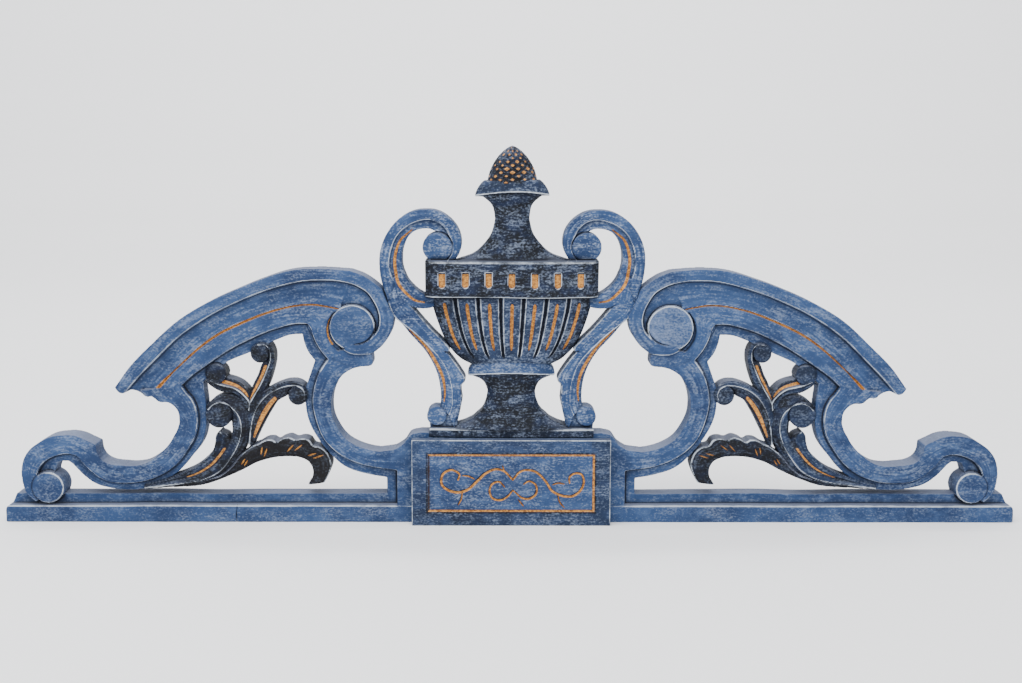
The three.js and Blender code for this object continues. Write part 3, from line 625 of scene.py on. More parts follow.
def carve_arch(board):
    count = 1900
    outer = wing_rail(count, [
        469, 157, 464.6, 162.2, 446.6, 186.2, 423, 210, 386.5, 243.2, 350.5, 264.6, 315.3, 279.8,
        292, 288.6, 257, 299.2, 222.2, 301.6, 187.5, 299.4])
    fillet = wing_rail(count, [
        458, 150, 453.7, 154.8, 439.7, 171, 422.6, 188.6, 386.6, 223.6, 351, 248.2, 315.7, 265.2,
        280.6, 278.2, 245.6, 287, 222.4, 288.6, 203.5, 288, 190, 285.6])
    groove = wing_rail(count, [
        432, 144.6, 418, 157.6, 407, 169.6, 394, 182.6, 364.5, 209.4, 340.7, 226, 305.3, 242.5,
        281.8, 251.4, 264.7, 256, 247.5, 259, 230.4, 259.6, 216.7, 257.6, 201.3, 254.7])
    arris = wing_rail(count, [
        388.2, 163.5, 376.6, 174.4, 364.9, 183.2, 329.2, 207.3, 293.7, 225.1, 272.6, 232.8, 252.6, 237.5,
        239.4, 237.6])
    opening = wing_rail(count, [
        364, 167.5, 347.7, 181.6, 334.5, 191.6, 307, 203.6, 292.6, 210.8, 273.9, 219, 260.2, 223.8,
        244.8, 225])
    board.moulding([outer, fillet, groove, arris, opening], FILLET + [
        (1, SMALL, 28.0), (1.2, 0, 27.2), (1.5, 0, 27.4), (1.78, 0, 29.0), (2, -2.4, 30.9),
        (2, -1.7, 31, FAINT), (2, -1.3, 29.2, GILT), (2, 0, 27.4, GILT), (2, 1.1, 28.8, GILT),
        (2, 1.7, 31.6), (2.5, 0, 32.2), (3, -1.1, 32), (3, -0.5, 31.9, FAINT), (3, 0, 31.2),
        (3, SMALL, 24.6), (3.5, 0, 24), (4, 0, 24.2)])
    heel = on_wing([[388.2, 163.5], [395, 171], [402, 165], [412.5, 152.6], [424, 141.5], [424, 137],
                    [396, 122], [380, 128], [376, 146]])
    board.plate(heel, 31.9)
    mouth = wing_rail(120, [446, 130, 432, 144.6, 418, 157.6, 407, 169.6, 396, 180.6])
    board.stroke(mouth, 5.4, 1.2, "gilt", taper=0.9)


print("a fillet has", len(FILLET), "knots")

# %% [markdown]
# ## The wing: the broken tip
#
# The arch ends in old breaks: small scallops where the wood has come away. They are one cut
# with a wandering line through all the mouldings, so the broken ends show their section.

# %% Cut the tip
def cut_tip(board):
    tip = wing_rail((40, 40, 30, 60), [
        470, 167, 463.9, 160.1, 461.6, 157, 459, 155.4, 456.5, 154.8, 454, 155], [
        454, 155, 450.5, 156.6, 447, 158, 441.5, 157, 436.3, 154.7, 431.2, 151.7, 426.9, 150], [
        426.9, 150, 423, 150.9, 419.3, 148.6, 414.9, 144.8, 411, 143.8], [
        411, 143.8, 404.5, 143.8, 399.3, 141.4, 394.3, 136.5, 391.8, 131.1, 391, 124])
    board.cut(board.inside(np.vstack([tip, on_wing([[400, 118], [440, 100], [490, 140]])])))


print("the tip is broken on four short lines")

# %% [markdown]
# ## The wing: the volute
#
# The fillet runs on round the eye and dies into it. The eye is a flat button with a rubbed rim,
# and a shallow gilt quirk on the left wing, dark on the right one, leads down into the neck.

# %% Carve the volute
EYE = [186.3, 233.2]
EYE_RADIUS = 26.4
EYE_FRONT = 34.5


def carve_volute(board, gilded):
    outer = wing_rail(1300, [
        187.5, 299.4, 171.3, 293, 152.7, 279.2, 143.6, 266, 139.6, 256, 138, 247, 139, 235, 142.8, 224.7,
        148.9, 215.1, 155.8, 208.2, 163.4, 203, 172.2, 201, 180, 200.9, 188, 202.2, 196, 206.6])
    inner = wing_rail(1300, [
        190, 285.6, 184, 283.8, 173.8, 278.8, 167.1, 273.7, 160.8, 264.3, 156.6, 255.7, 154.2, 246.2,
        154.3, 237.6, 156.6, 229.8, 161.7, 222.9, 168.6, 217.3, 176.3, 214.2, 184, 213.4, 192, 216])
    board.moulding([outer, inner], FILLET + [(1, SMALL, 28)])
    ground = wing_rail(300, [
        187.5, 299.4, 171.3, 293, 152.9, 279, 143.6, 266, 138, 247, 140.6, 228.6, 148.9, 215.6,
        165.4, 204.4, 183, 202, 214.8, 195.5, 231.9, 221.1, 238.7, 238, 214, 262])
    board.plate(ground, 27.2)
    neck = wing_rail(300, [240.4, 238.4, 234.4, 235.4, 233.3, 227.7, 230.4, 219, 223.8, 206.9, 215, 196.2])
    rim = wing_rail(300, [
        202.6, 255, 209, 249.4, 214, 241.2, 216.2, 232.3, 215.4, 223, 212.2, 215.2, 205, 206.4, 196, 200.4])
    glint = GILT if gilded else {"dark": 0.5}
    board.moulding([rim, neck], [
        (0, -3.0, 28.4), (0, -1.9, 27.4), (0, -1.3, 27.4, glint), (0, -0.2, 28.2, glint), (0, 0.8, 31),
        (0.5, 0, 31.8), (1, -1.1, 32), (1, -0.5, 31.9, FAINT), (1, 0, 31.2)], gilt_run=(0.0, 0.72))
    corner = wing_rail(40, [203.6, 252.4, 217, 255.2, 230.6, 257.2, 247, 256.6])
    under = on_wing([[240.4, 238.4], [233, 234], [216, 240], [209, 250.6]])
    board.plate(np.vstack([corner, under]), 31.8)
    away = board.away(on_wing(EYE))
    face = EYE_FRONT - 1.0 * unit(away / EYE_RADIUS) ** 6
    rubbed, tone, brush = (0.6, 0.12, 0.0) if gilded else (1.0, 0.0, 1.1)
    board.put(away <= EYE_RADIUS, face, pale=rubbed * soft_line(away - EYE_RADIUS + 0.7, 0.6),
              dark=tone, brush=brush)
    # painted shade: the groove where the spiral dies into the eye is painted dark
    tail = wing_rail(80, [159.4, 240, 160.2, 232, 163, 224.6, 169, 218, 176.3, 214.4, 184, 213.4])
    board.stroke(tail, 2.6, 2.6, "dark", taper=0.8)
    foot = wing_rail(80, [163.4, 202.4, 172.2, 201.4, 180, 201.4, 188, 202.8, 196, 206.8, 203, 212.6])
    board.stroke(foot, 1.3, 0.3, "pale", taper=0.5)
    # painted shadow: a dark line just under the volute's foot
    board.stroke(foot - [0, 2.2], 1.8, 0.8, "dark", taper=0.5)


print("the volute turns round", EYE)

# %% [markdown]
# ## The wing: the outer scroll
#
# Below the arch the flat band, with its sunk strip, winds through an S: down the lower C, along
# the trough, up over the outer scroll and into a roll on the rail. One section does for all.

# %% Carve the outer scroll
BAND = [(0, 0, 31.2), (0, 0.9, 32), (0.5, 0, 32.3), (1, -1.1, 32), (1, -0.5, 31.9, FAINT), (1, 0, 31.3),
        (1, SMALL, 24.8), (1.5, 0, 24), (2, 0, 24.2)]
BOSS = [548.6, 41.5]
BOSS_RADIUS = 18.6


def carve_outer_scroll(board):
    counts = [1300, 1100]
    edge = wing_rail(counts, [
        436, 158, 420, 140, 400, 131, 391.2, 124, 393.6, 112, 398, 104, 403.5, 94.8, 415.9, 81.4,
        433.2, 70, 447, 67.4, 462.4, 68.1, 476.5, 70.2, 485.4, 75.4, 489.7, 83.2, 490.8, 93.2], [
        490.8, 93.2, 499.4, 97.3, 508.9, 102, 518.6, 104.4, 530.3, 104.4, 544.1, 102.2, 556.3, 95.9,
        568, 87, 575.6, 75.6, 579, 61, 577.8, 45, 573.2, 32.8, 564, 24])
    arris = wing_rail(counts, [
        388.2, 163.5, 382.8, 155.2, 377.2, 148.6, 372.8, 139.8, 370.4, 128, 370.8, 116, 374, 103,
        382, 88.8, 394.5, 71.5, 411.9, 57.9, 432.6, 49.5, 452.3, 46.8, 466, 47.1, 478, 49.2, 489.4, 54.1], [
        489.4, 54.1, 500.7, 64.2, 508.2, 73.2, 512.8, 79.2, 518, 81.2, 525.6, 82.2, 535.2, 80.7,
        545.2, 77, 553.3, 71.1, 559.5, 62.1, 561, 52, 556, 42, 548, 36])
    opening = wing_rail(counts, [
        364, 167.5, 362.8, 155, 361.5, 142, 361.4, 128, 361.8, 115, 365.8, 99, 372.5, 87.5, 382, 76,
        394, 61.2, 405.8, 52.8, 417.8, 46.5, 437.1, 38.7, 452, 37.4, 466, 38.2, 476.4, 39.5], [
        476.4, 39.5, 490, 43, 499.7, 48.1, 509.2, 56.2, 515.8, 63.5, 522.3, 71.4, 530.2, 72.4,
        537.4, 70.8, 540.5, 64, 543, 52, 544, 42, 542, 36])
    board.moulding([edge, arris, opening], BAND)
    roll = on_wing(BOSS)
    away = board.away(roll)
    board.disc(roll, BOSS_RADIUS, 33.1, dome=0.4, edge=0.9)
    # painted highlight: the boss's rim is paler towards its left, lit side
    rim = soft_line(away - BOSS_RADIUS + 0.8, 0.6) * np.clip(0.5 + (roll[0] - board.x) / 20, 0.15, 1)
    board.tint("pale", np.where(away < BOSS_RADIUS, 0.8 * rim, 0))
    # painted shadow: a dark cut ring round the boss's right side only
    shadow_ring = soft_line(away - BOSS_RADIUS - 0.7, 0.6) * (board.x > roll[0] - 8)
    board.shaded_moat(shadow_ring, 1.2, above=28, strength=0.8)


print("the scroll rolls up on a boss of radius", BOSS_RADIUS)

# %% [markdown]
# ## The wing: the inner scroll
#
# The same band turns from the neck round the inner C to the stile that stands on the rail. The
# stile and the tab under the volute are plain plates, laid where bands meet.

# %% Carve the inner scroll
def carve_inner_scroll(board):
    neck_inside = wing_rail(300, [214, 246, 212, 226, 206, 208, 198, 197])
    neck_arris = wing_rail(300, [239.4, 240, 233.6, 230, 230.4, 219, 223.8, 206.9, 214, 194.8])
    neck_opening = wing_rail(300, [245.2, 226.6, 243.2, 215.5, 238.4, 203.4, 229.8, 192])
    board.moulding([neck_inside, neck_arris, neck_opening], [
        (0.75, 0, 31.6), (1, -1.1, 31.9), (1, -0.5, 31.8, FAINT), (1, 0, 31.2), (1, SMALL, 24.8),
        (1.5, 0, 24), (2, 0, 24.2)])
    count = 1300
    hollow = wing_rail(count, [
        186, 185, 197.6, 177.3, 207.2, 163, 211.8, 146.5, 211.4, 130, 206, 115.8, 195.2, 100.4, 178, 90.2,
        155.1, 85, 137.4, 87.4])
    arris = wing_rail(count, [
        214.2, 195, 224.4, 180.8, 231.1, 162.9, 233.6, 144.3, 229.5, 121.3, 220.8, 100.6, 203, 82.1,
        176, 69.4, 135.4, 62.6])
    opening = wing_rail(count, [
        230.3, 193.9, 236.2, 177.2, 241.6, 161, 243, 143, 240.4, 124.5, 232.4, 106.4, 215.5, 82.5,
        195.2, 64.8, 167.9, 56.1, 147.4, 52.7])
    board.moulding([hollow, arris, opening], BAND)
    start = wing_rail(40, [213.6, 195.6, 219.8, 187.4, 224.6, 179.4])
    board.stroke(start, 1.6, 0.2, "pale", taper=0.6)
    tab = wing_rail((90, 20, 60), [
        163.8, 201, 163.8, 188.8, 177.8, 186.4, 188.2, 183.4, 197.6, 177.3], [
        197.6, 177.3, 226, 180], [
        226, 180, 214.8, 196, 200, 206, 163.8, 201])
    board.plate(tab, 31.0)
    stile = wing_rail((60, 10, 10, 10, 10, 40), [
        137.4, 87.4, 126.7, 94.7, 119, 105, 108, 108], [
        108, 108, DRAWN_JOINT, 108], [
        DRAWN_JOINT, 108, DRAWN_JOINT, 5], [
        DRAWN_JOINT, 5, 135.4, 5], [
        135.4, 5, 135.4, 63], [
        135.4, 63, 156, 67, 156, 85])
    board.plate(stile, 32.0)
    strip = on_wing([[130, 12], [147.4, 12], [147.4, 53.2], [152, 60], [130, 66]])
    board.plate(strip, 24.2)


print("a band has", len(BAND), "knots")

# %% [markdown]
# ## The wing: the foot rail
#
# The foot rail is a lip with a shallow cove above it, run with a plane before the scrolls were
# carved. On the left an old crack crosses the lip, and both ends are rounded off by wear.

# %% Carve the rail
CRACK = 326.0


def carve_rail(board, cracked):
    corner = unit((board.z - (LIP_TOP - 7)) / 7)
    end = REACH - 0.3 - 5.5 * (1 - np.sqrt(1 - corner**2))
    lip = 33.8 - 0.9 * unit((board.z - LIP_TOP + 1.6) / 1.6) ** 2
    lip = lip - 2.2 * unit((board.x - end + 2.5) / 2.5) ** 2
    board.put((board.z <= LIP_TOP) & (board.x >= JOINT) & (board.x <= end), lip,
              pale=0.7 * soft_line(board.z - LIP_TOP + 1.3, 0.6))
    low = LIP_TOP - 0.2
    share = unit((board.z - low) / (RAIL_TOP - low))
    end = REACH - 6 - 5.5 * share
    cove = 25.2 - 1.0 * share - 1.4 * np.sin(np.pi * share)
    board.put((board.z >= low) & (board.z <= RAIL_TOP) & (board.x >= JOINT) & (board.x <= end), cove)
    if cracked:
        split = rail(60, [CRACK, 0, CRACK + 0.6, 9, CRACK - 0.3, LIP_TOP])
        board.stroke(split, 1.3, 1.4, "dark", taper=0.0)


print("the rail is", RAIL_TOP, "mm high")

# %% [markdown]
# ## The wing: foliage
#
# The opening is filled by one plant. Its stems are cut with a ridge, a gilt gouge beside the
# ridge, and a plain slope on the other side, and each ends in a curl round a button.

# %% Carve the foliage
DARK = {"dark": 1.5}
GREY = {"dark": 1.0, "pale": 0.2}
DARK_GILT = {"dark": 1.5, "gilt": 1.0}
DARK_PALE = {"dark": 1.2, "pale": 0.85}
SOOTY = {"dark": 1.9}
GOUGE_FIRST = [
    (0, 0, 23.4, DARK), (0, 0.9, 25.4, DARK), (0.24, 0, 24.8, DARK), (0.48, 0, 24.2, DARK_GILT),
    (0.7, 0, 24, DARK_GILT), (1, -1.5, 26.4, DARK), (1, 0, 28.6, DARK_PALE), (1, 0.8, 28, DARK),
    (1.6, 0, 26.2, GREY), (2, -0.8, 25, DARK), (2, 0, 23.2, DARK)]
GOUGE_LAST = [
    (0, 0, 24.4, DARK), (0, 0.9, 26.4, GREY), (0.5, 0, 27.6, GREY), (1, -0.7, 28.4, GREY),
    (1, 0, 28.8, DARK_PALE), (1, 0.8, 28, DARK), (1.42, 0, 26.4, DARK), (1.55, 0, 24.8, DARK_GILT),
    (1.76, 0, 24, DARK_GILT), (2, -0.9, 24.8, DARK), (2, 0, 23, DARK)]
PLAIN = [
    (0, 0, 22, DARK), (0, 1, 24.2, DARK), (0.6, 0, 26.4, DARK), (1, -0.8, 28, DARK),
    (1, 0, 28.7, DARK_PALE), (1, 0.8, 28, GREY), (1.6, 0, 26, GREY), (2, -0.8, 25, DARK), (2, 0, 23, DARK)]
STEMS = [
    ([309.5, 137, 309.5, 155.1, 318.2, 165.2, 328, 170.2, 337.2, 172.7, 345, 176],
     [309.3, 137, 309.3, 143.7, 315.5, 151.9, 325.3, 159.4, 336.3, 162.4, 346, 165, 355, 169],
     [317, 136, 321.6, 149.5, 331.4, 154.5, 342.6, 155.8, 352.4, 160.8, 361.5, 168.5],
     GOUGE_FIRST, (0.22, 0.86)),
    ([313, 138, 308.7, 154.9, 303.5, 167.5, 298.3, 177.6, 293.7, 189.6, 288.5, 197, 287.4, 204, 291, 210,
      298, 211.5],
     [310, 134, 307.7, 143.7, 298, 160.7, 291.5, 173.3, 286.3, 185.8, 283.4, 194, 283.8, 204, 288, 211.4,
      298, 212.6],
     [307.5, 130, 297.7, 148.6, 288.7, 161.3, 282.8, 176.4, 278.7, 194, 279.2, 204, 283.3, 212.6,
      290, 215.6, 297.5, 214, 304.4, 207.7],
     GOUGE_FIRST, (0.1, 0.62)),
    ([311.5, 97, 309.8, 114, 311.5, 128.7, 305.6, 142, 298.5, 151.5, 288.5, 159.1, 275.9, 165.4,
      263.5, 169, 253.6, 168.6, 245, 164.2, 240.2, 156, 241.6, 146.5],
     [309.5, 93, 307.9, 110.1, 303.7, 129.1, 295.9, 144.3, 285.8, 154.4, 273.2, 160.9, 262, 163.8,
      253, 163.6, 246, 159.6, 243.4, 153, 244.4, 147],
     [306.8, 91, 297.7, 110.1, 287.3, 129.4, 275.7, 145.7, 266.9, 150.8, 262, 154, 256, 159.6,
      249.5, 158.6, 246, 154, 246.4, 148],
     GOUGE_LAST, (0.1, 0.58)),
    ([361.5, 136.5, 356.5, 143, 349.3, 148.4, 341, 151.6, 332, 151.6, 323.4, 149.4, 313.6, 142.6,
      308.6, 131.3, 308.2, 118.6, 310.8, 103.3, 316.2, 88, 325.3, 72.7, 342, 56.2, 357.1, 49.4, 376, 44.2,
      399.3, 41.5, 436, 37.5],
     [358, 134.4, 352.6, 140, 345, 143, 337, 142, 330, 137.2, 324.1, 131.6, 320, 122.8, 319.1, 108.8,
      323.2, 93.6, 331, 79.5, 343.9, 63.2, 359.1, 53.9, 375.5, 48.6, 398, 44.4, 436, 39.5],
     [355, 133, 351, 137, 345, 139, 339, 137, 333, 131, 330.5, 120, 330, 109.2, 332.5, 99.1, 337.7, 88.8,
      344, 79.5, 353, 69.5, 364, 61.5, 378, 55, 395, 50, 414, 47, 436, 43],
     PLAIN, (0.0, 1.0)),
]
BUTTONS = [([348.3, 177], 12.0, [-0.9, 0.4]), ([295.6, 202.1], 10.9, [-0.7, -0.7]),
           ([251.7, 152], 11.4, [0.5, 0.8]), ([345.2, 129.1], 15.5, [-1.0, 0.1])]
BUD = [
    [345.1, 110, 349.6, 104.3, 351.1, 95.4, 353.8, 86.5, 362.8, 76.3, 375.6, 65.4, 392, 57, 410, 51,
     436, 44],
    [345.1, 108, 337.1, 104.4, 333.6, 96.7, 337.5, 89.5, 345, 79, 356, 67.5, 375, 56, 404, 47.5, 436, 40]]
BUD_CUT = [
    (0, 0, 23, DARK), (0, 0.9, 25, GREY), (0.5, 0, 26.6, GREY), (0.7, 0, 26, GREY),
    (0.78, 0, 24.4, DARK_GILT), (0.96, 0, 24, DARK_GILT), (1, 0, 23.5, DARK)]


def carve_stems(board):
    count = 1100
    for near, ridge, far, section, gilt_run in STEMS:
        rails = [wing_rail(count, points) for points in (near, ridge, far)]
        board.moulding(rails, section, gilt_run=gilt_run)
    bud = [wing_rail(count, points) for points in BUD]
    board.moulding(bud, BUD_CUT, gilt_run=(0.2, 0.62))


def carve_buttons(board):
    for centre, radius, gap in BUTTONS:
        spot = on_wing(centre)
        away = board.away(spot)
        # painted shade: a dark crescent is cut round each button on the side of its gap
        facing = ((board.x - spot[0]) * gap[0] + (board.z - spot[1]) * gap[1]) / np.maximum(away, 1e-3)
        shell = soft_line(away - radius - 0.6, 0.8) * (board.height > 20) * unit(0.3 + 1.4 * facing)
        board.shaded_moat(shell, 2.4)
        board.disc(spot, radius, 28.8, dome=1.4, edge=1.2, dark=1.15)


print("a plant of", len(STEMS), "stems")

# %% [markdown]
# ## The wing: the long leaf
#
# The leaf along the bottom is the darkest thing on the wing. Its back edge ripples, valleys run
# in from the ripples, and slanting nicks across it are gilt.

# %% Carve the leaf
LEAF_NICKS = [
    [320.9, 68, 315.4, 76.6], [317.7, 66.2, 312.3, 74.8], [297.2, 79.4, 294.7, 91.4],
    [293.8, 76.9, 289, 89.6], [266.6, 83.4, 257.4, 94], [257.9, 84.9, 246.8, 93.8],
    [242.4, 78.9, 230.6, 82.7], [236.4, 75.6, 221.8, 80.9]]
VALLEYS = [[277.2, 97.4, 281, 90], [255, 99.6, 257.5, 93], [234.6, 92.6, 241, 88]]


def carve_leaf(board):
    count = 1400
    back = wing_rail(count, [
        432, 41, 384, 47, 356.7, 52.4, 341.6, 58, 330.1, 68, 321.1, 79.4, 312.2, 87, 304.6, 92.2,
        299, 94.2, 292, 98.4, 284, 99.6, 277.4, 96.6, 271.5, 100, 263.3, 102, 255.2, 99, 247.5, 100.6,
        239.5, 98.4, 234.4, 91.8, 226.1, 89.6, 219.6, 84.8, 215.5, 77.1, 213.9, 68.2, 217.5, 56.7,
        222, 47.6])
    front = wing_rail(count, [
        430, 38.5, 389.5, 40.8, 369.4, 43.4, 342.8, 52.3, 321.3, 61.3, 301, 71.4, 282.1, 76.7,
        265.9, 78.2, 250.9, 76.8, 241.2, 71.9, 236.3, 64.2, 235.8, 55.2, 237.8, 49.5, 242, 43.4])
    board.moulding([back, front], [
        (0, 0, 26.2, SOOTY), (0, 0.7, 28.2, DARK_PALE), (0, 1.5, 28.8, SOOTY), (0.32, 0, 28.4, SOOTY),
        (0.62, 0, 26.6, SOOTY), (0.9, 0, 24.2, SOOTY), (1, -0.8, 23.4, SOOTY), (1, 0, 21.6, SOOTY)])
    for nick in LEAF_NICKS:
        board.stroke(wing_rail(24, nick), 2.8, 1.8, "gilt", taper=0.9, strength=0.8)
    for valley in VALLEYS:
        board.stroke(wing_rail(20, valley), 1.8, 1.4, "dark", taper=0.9)


print("the leaf has", len(LEAF_NICKS), "gilt nicks")

# %% [markdown]
# ## The urn: turned members
#
# The urn is half round. Each member is a silhouette that swells towards the middle, so each row
# gives a level, its half width, and how high the edge and the middle stand. The knop and the
# collar dip at their sides, as rings do when seen from a little above.

# %% Carve the urn's turned members
FOOT = [
    [113, 70, 22, 40], [115.5, 66, 22, 39], [120, 54, 21.5, 38], [124.9, 45, 21, 36.5],
    [128.6, 41.2, 20.5, 35.6], [132, 37, 20, 35], [135.8, 33.8, 20, 34.4], [139.4, 32, 19.5, 33.8],
    [146.6, 29.6, 19, 33.2], [157, 28.3, 19, 33], [161, 29.3, 19, 33], [164.7, 30.8, 19, 33.2],
    [168.3, 33.1, 19, 33.6], [171.9, 37.9, 19.5, 34.6], [175.5, 46.5, 20, 35.4], [178, 52, 20, 35.5]]
KNOP = [[176, 51, 22, 39.5], [181, 51, 22, 41], [187, 47.4, 22, 40.5], [193, 43.6, 22, 38]]
NECK = [
    [311, 70, 21, 38], [313.5, 62, 21, 37], [318.8, 47.3, 20, 35.4], [323.5, 40.3, 20, 34.6],
    [328.2, 35.6, 20, 34.1], [332.9, 31.5, 19.5, 33.6], [337.5, 28, 19, 33.3], [342.2, 25.1, 19, 33.1],
    [346.9, 23.3, 19, 33], [356.2, 21, 19, 33], [360.8, 20.4, 19, 33], [370.1, 21.5, 19, 33],
    [374.8, 22.7, 19, 33.2], [379.4, 25.6, 19.5, 33.7], [384, 30.8, 20, 34.4], [388, 36, 20, 35]]
COLLAR = [
    [387, 43.8, 23, 40], [393, 42, 23, 40.4], [398, 39.2, 22, 39.4], [402, 36, 21, 38],
    [405, 32.5, 21, 37]]
LEAN = 0.8


def leaning(up):
    return LEAN * unit((up - DRAWN_PLINTH) / 200)


def swelling(levels, board):
    levels = np.array(levels, float)
    fitted = on_urn(levels[:, [1, 0]])
    curve, heights, up = smooth(fitted[:, ::-1]), fitted[:, 1], board.z
    half = np.interp(up, curve[:, 0], curve[:, 1])
    edge, middle = (np.interp(up, heights, levels[:, column]) for column in (2, 3))
    share = (board.x - leaning(up)) / np.maximum(half, 1e-3)
    front = edge + (middle - edge) * np.sqrt(unit(1 - np.minimum(np.abs(share), 1) ** 2))
    where = (np.abs(share) <= 1) & (up >= heights[0]) & (up <= heights[-1])
    return where, front, share


def carve_members(board):
    for levels in (FOOT, NECK):
        where, front, share = swelling(levels, board)
        board.put(where, front, dark=1.0)
    for levels, arch_up, tone in ((KNOP, 3.4, 0.1), (COLLAR, 4.4, 0.8)):
        where, front, share = swelling(levels, board)
        bend = board.z - urn_height(levels[0][0]) - arch_up * (1 - share**2)
        lip = soft_line(bend - 1.0, 0.7)
        board.put(where & (bend >= 0), front + 0.3 * lip, dark=tone, pale=0.9 * lip)
        board.put(where & (bend < 0), front - 6.0, dark=1.0)


print("the knop is", 2 * KNOP[0][1], "mm wide")

# %% [markdown]
# ## The urn: the bowl
#
# The bowl is lobed, and each lobe has a gilt flute, with grooves between the lobes painted dark
# as shade. Both come from one number, the phase across a lobe: it is scaled with the silhouette,
# so the lobes draw together towards the knop by themselves. The bowl is painted darker towards
# its sides as shade too.

# %% Carve the bowl
LOBES = 7
FLUTE_HALF = 0.085
BOWL = [
    [190, 48.5, 21, 37], [195.8, 59.3, 21, 39.2], [204.1, 68.6, 21, 41.2], [213.7, 75.6, 21, 42.6],
    [224.5, 81.5, 21, 43.6], [235.2, 85.6, 21, 44.2], [252, 91, 21, 44.5], [265, 93.6, 21, 44.5],
    [270.5, 94.2, 21, 44.5]]


def carve_bowl(board):
    where, front, share = swelling(BOWL, board)
    lane = (share / 0.985 * 0.5 + 0.5) * LOBES
    phase = lane - np.floor(lane)
    up = board.z
    end = unit((up - urn_height(207)) / 6) ** 0.5 * unit((urn_height(263) - up) / 3) ** 0.5
    flute = unit(1 - ((phase - 0.5) / (FLUTE_HALF * np.maximum(end, 0.01))) ** 2) * (end > 0)
    part = np.minimum(phase, 1 - phase)
    between = (lane > 0.5) & (lane < LOBES - 0.5)
    fade = unit((up - urn_height(196)) / 6)
    groove = unit(1 - (part / FLUTE_HALF) ** 2) * between * fade
    rib = soft_line(part - 0.115, 0.022) * between * fade
    round_lobe = 1.5 * unit(1 - (2 * phase - 1) ** 2) * fade
    body = front - 1.5 * fade + round_lobe - 3.0 * flute - 3.6 * groove
    # painted shade: the bowl darkens towards its sides and in the grooves, and the pale ribs weaken there
    side = unit((np.abs(share) - 0.6) / 0.35)
    board.put(where, body, dark=np.clip(0.72 + 0.3 * side + groove, 0, 1.3), gilt=unit(flute * 2.4),
              pale=0.9 * rib * (1 - 0.6 * side))


print("the bowl has", LOBES, "lobes")

# %% [markdown]
# ## The urn: the frieze
#
# Above the bowl stands a bowed frieze with a facet at each end, painted darker as shade. It has
# as many gilt notches as the bowl has lobes, each rounded at the foot, with painted shade where
# the gilt thins under its top edge.

# %% Carve the frieze
NOTCH_REACH, NOTCH_HALF, NOTCH_LOW, NOTCH_HIGH = 80.0, 3.7, 281.5, 299.0
NOTCH_DEPTH = 3.2
FRIEZE_HALF, FRIEZE_LOW, FRIEZE_HIGH = 100.6, 270.0, 312.4
FRIEZE_EDGE, FRIEZE_SWELL, FACET = 40.5, 6.6, 8.5


def carve_frieze(board):
    low, high = urn_height(FRIEZE_LOW), urn_height(FRIEZE_HIGH)
    half = on_urn([FRIEZE_HALF, 0])[0]
    x = board.x - leaning(board.z)
    facet = half - FACET
    share = unit(np.abs(x) / facet)
    corner = FRIEZE_EDGE + FRIEZE_SWELL * 0.45**0.5
    front = np.where(np.abs(x) > facet, corner - 1.5 * (np.abs(x) - facet),
                     FRIEZE_EDGE + FRIEZE_SWELL * np.sqrt((1 - share**2) * 0.55 + 0.45))
    ledge = unit((board.z - high + 2.4) / 2.4)
    where = (np.abs(x) <= half) & (board.z >= low) & (board.z <= high)
    lines = soft_line(board.z - low - 0.8, 0.6) + 0.8 * soft_line(board.z - high + 2.2, 0.6)
    # painted shade: the end facets, turned away, are painted darker
    board.put(where, front - 1.6 * ledge**2, dark=1.0 + 0.3 * (np.abs(x) > facet),
              pale=unit(0.8 * lines))
    pitch = 2 * NOTCH_REACH / (LOBES - 1)
    bottom, top = urn_height(NOTCH_LOW), urn_height(NOTCH_HIGH)
    wide = on_urn([NOTCH_HALF, 0])[0]
    for index in range(LOBES):
        spot = on_urn([(index - (LOBES - 1) / 2) * pitch - LEAN, 0])[0]
        across = np.abs(x - spot) / wide
        rounded = bottom + wide - wide * np.sqrt(unit(1 - across**2))
        hole = (across < 1) & (board.z > rounded) & (board.z < top) & where
        around = (across < 1.26) & (board.z > rounded - 1.0) & (board.z < top + 1.0) & where & ~hole
        board.height[hole] -= NOTCH_DEPTH
        board.marks["gilt"][hole] = 1.0
        board.marks["pale"][around] = 0.75
        # painted shadow: the gilt is thinned under each notch's top edge
        board.marks["gilt"][hole & (board.z > top - 1.4)] = 0.3


print("notches every", round(2 * NOTCH_REACH / (LOBES - 1), 1), "mm")

# %% [markdown]
# ## The urn: the finial
#
# The finial is a pine cone. Two sets of slanting lines cross on it, and the raised lozenges
# between them are the scales. A fixed scatter by lozenge leaves the gilding worn on some.

# %% Carve the finial
CONE_BASE, CONE_HALF = 402, 29
SCALES_ROUND, SCALES_UP = 6, 5.2


def carve_finial(board):
    base, tip = urn_height(CONE_BASE), urn_height(DRAWN_TIP)
    climb = unit((board.z - base) / (tip - base))
    half = on_urn([CONE_HALF, 0])[0] * unit(1 - climb**1.75) ** 0.7
    share = (board.x - LEAN) / np.maximum(half, 1e-3)
    where = (np.abs(share) <= 1) & (board.z >= base) & (board.z <= tip)
    turn_at = np.arcsin(np.clip(share, -1, 1)) / np.pi
    round_it = np.sqrt(unit(1 - share**2))
    front = 19 + (4 + 14 * np.sqrt(unit(1 - climb**2))) * round_it
    a, b = [turn_at * SCALES_ROUND + slant * climb * SCALES_UP for slant in (1, -1)]
    scale = 1 - 2 * np.maximum(np.abs(a - np.floor(a) - 0.5), np.abs(b - np.floor(b) - 0.5))
    lucky = np.sin(np.floor(a) * 12.9898 + np.floor(b) * 78.233) * 43758.5453
    lucky = lucky - np.floor(lucky)
    gild = unit((scale - 0.22 - 0.3 * lucky) / 0.2) * (lucky > 0.22)
    board.put(where, front + 1.8 * unit(scale * 1.8), dark=1.3, gilt=gild * 0.75)


print("the cone is", 2 * CONE_HALF, "mm wide at its base")

# %% [markdown]
# ## The handles
#
# A handle is one springing band. It curls over a button at the top, sweeps out and down,
# throws a short hook back to the frieze, and ends in a leafy S with a roll on the plinth.
# A gilt gouge follows its inner side above and its outer side below.

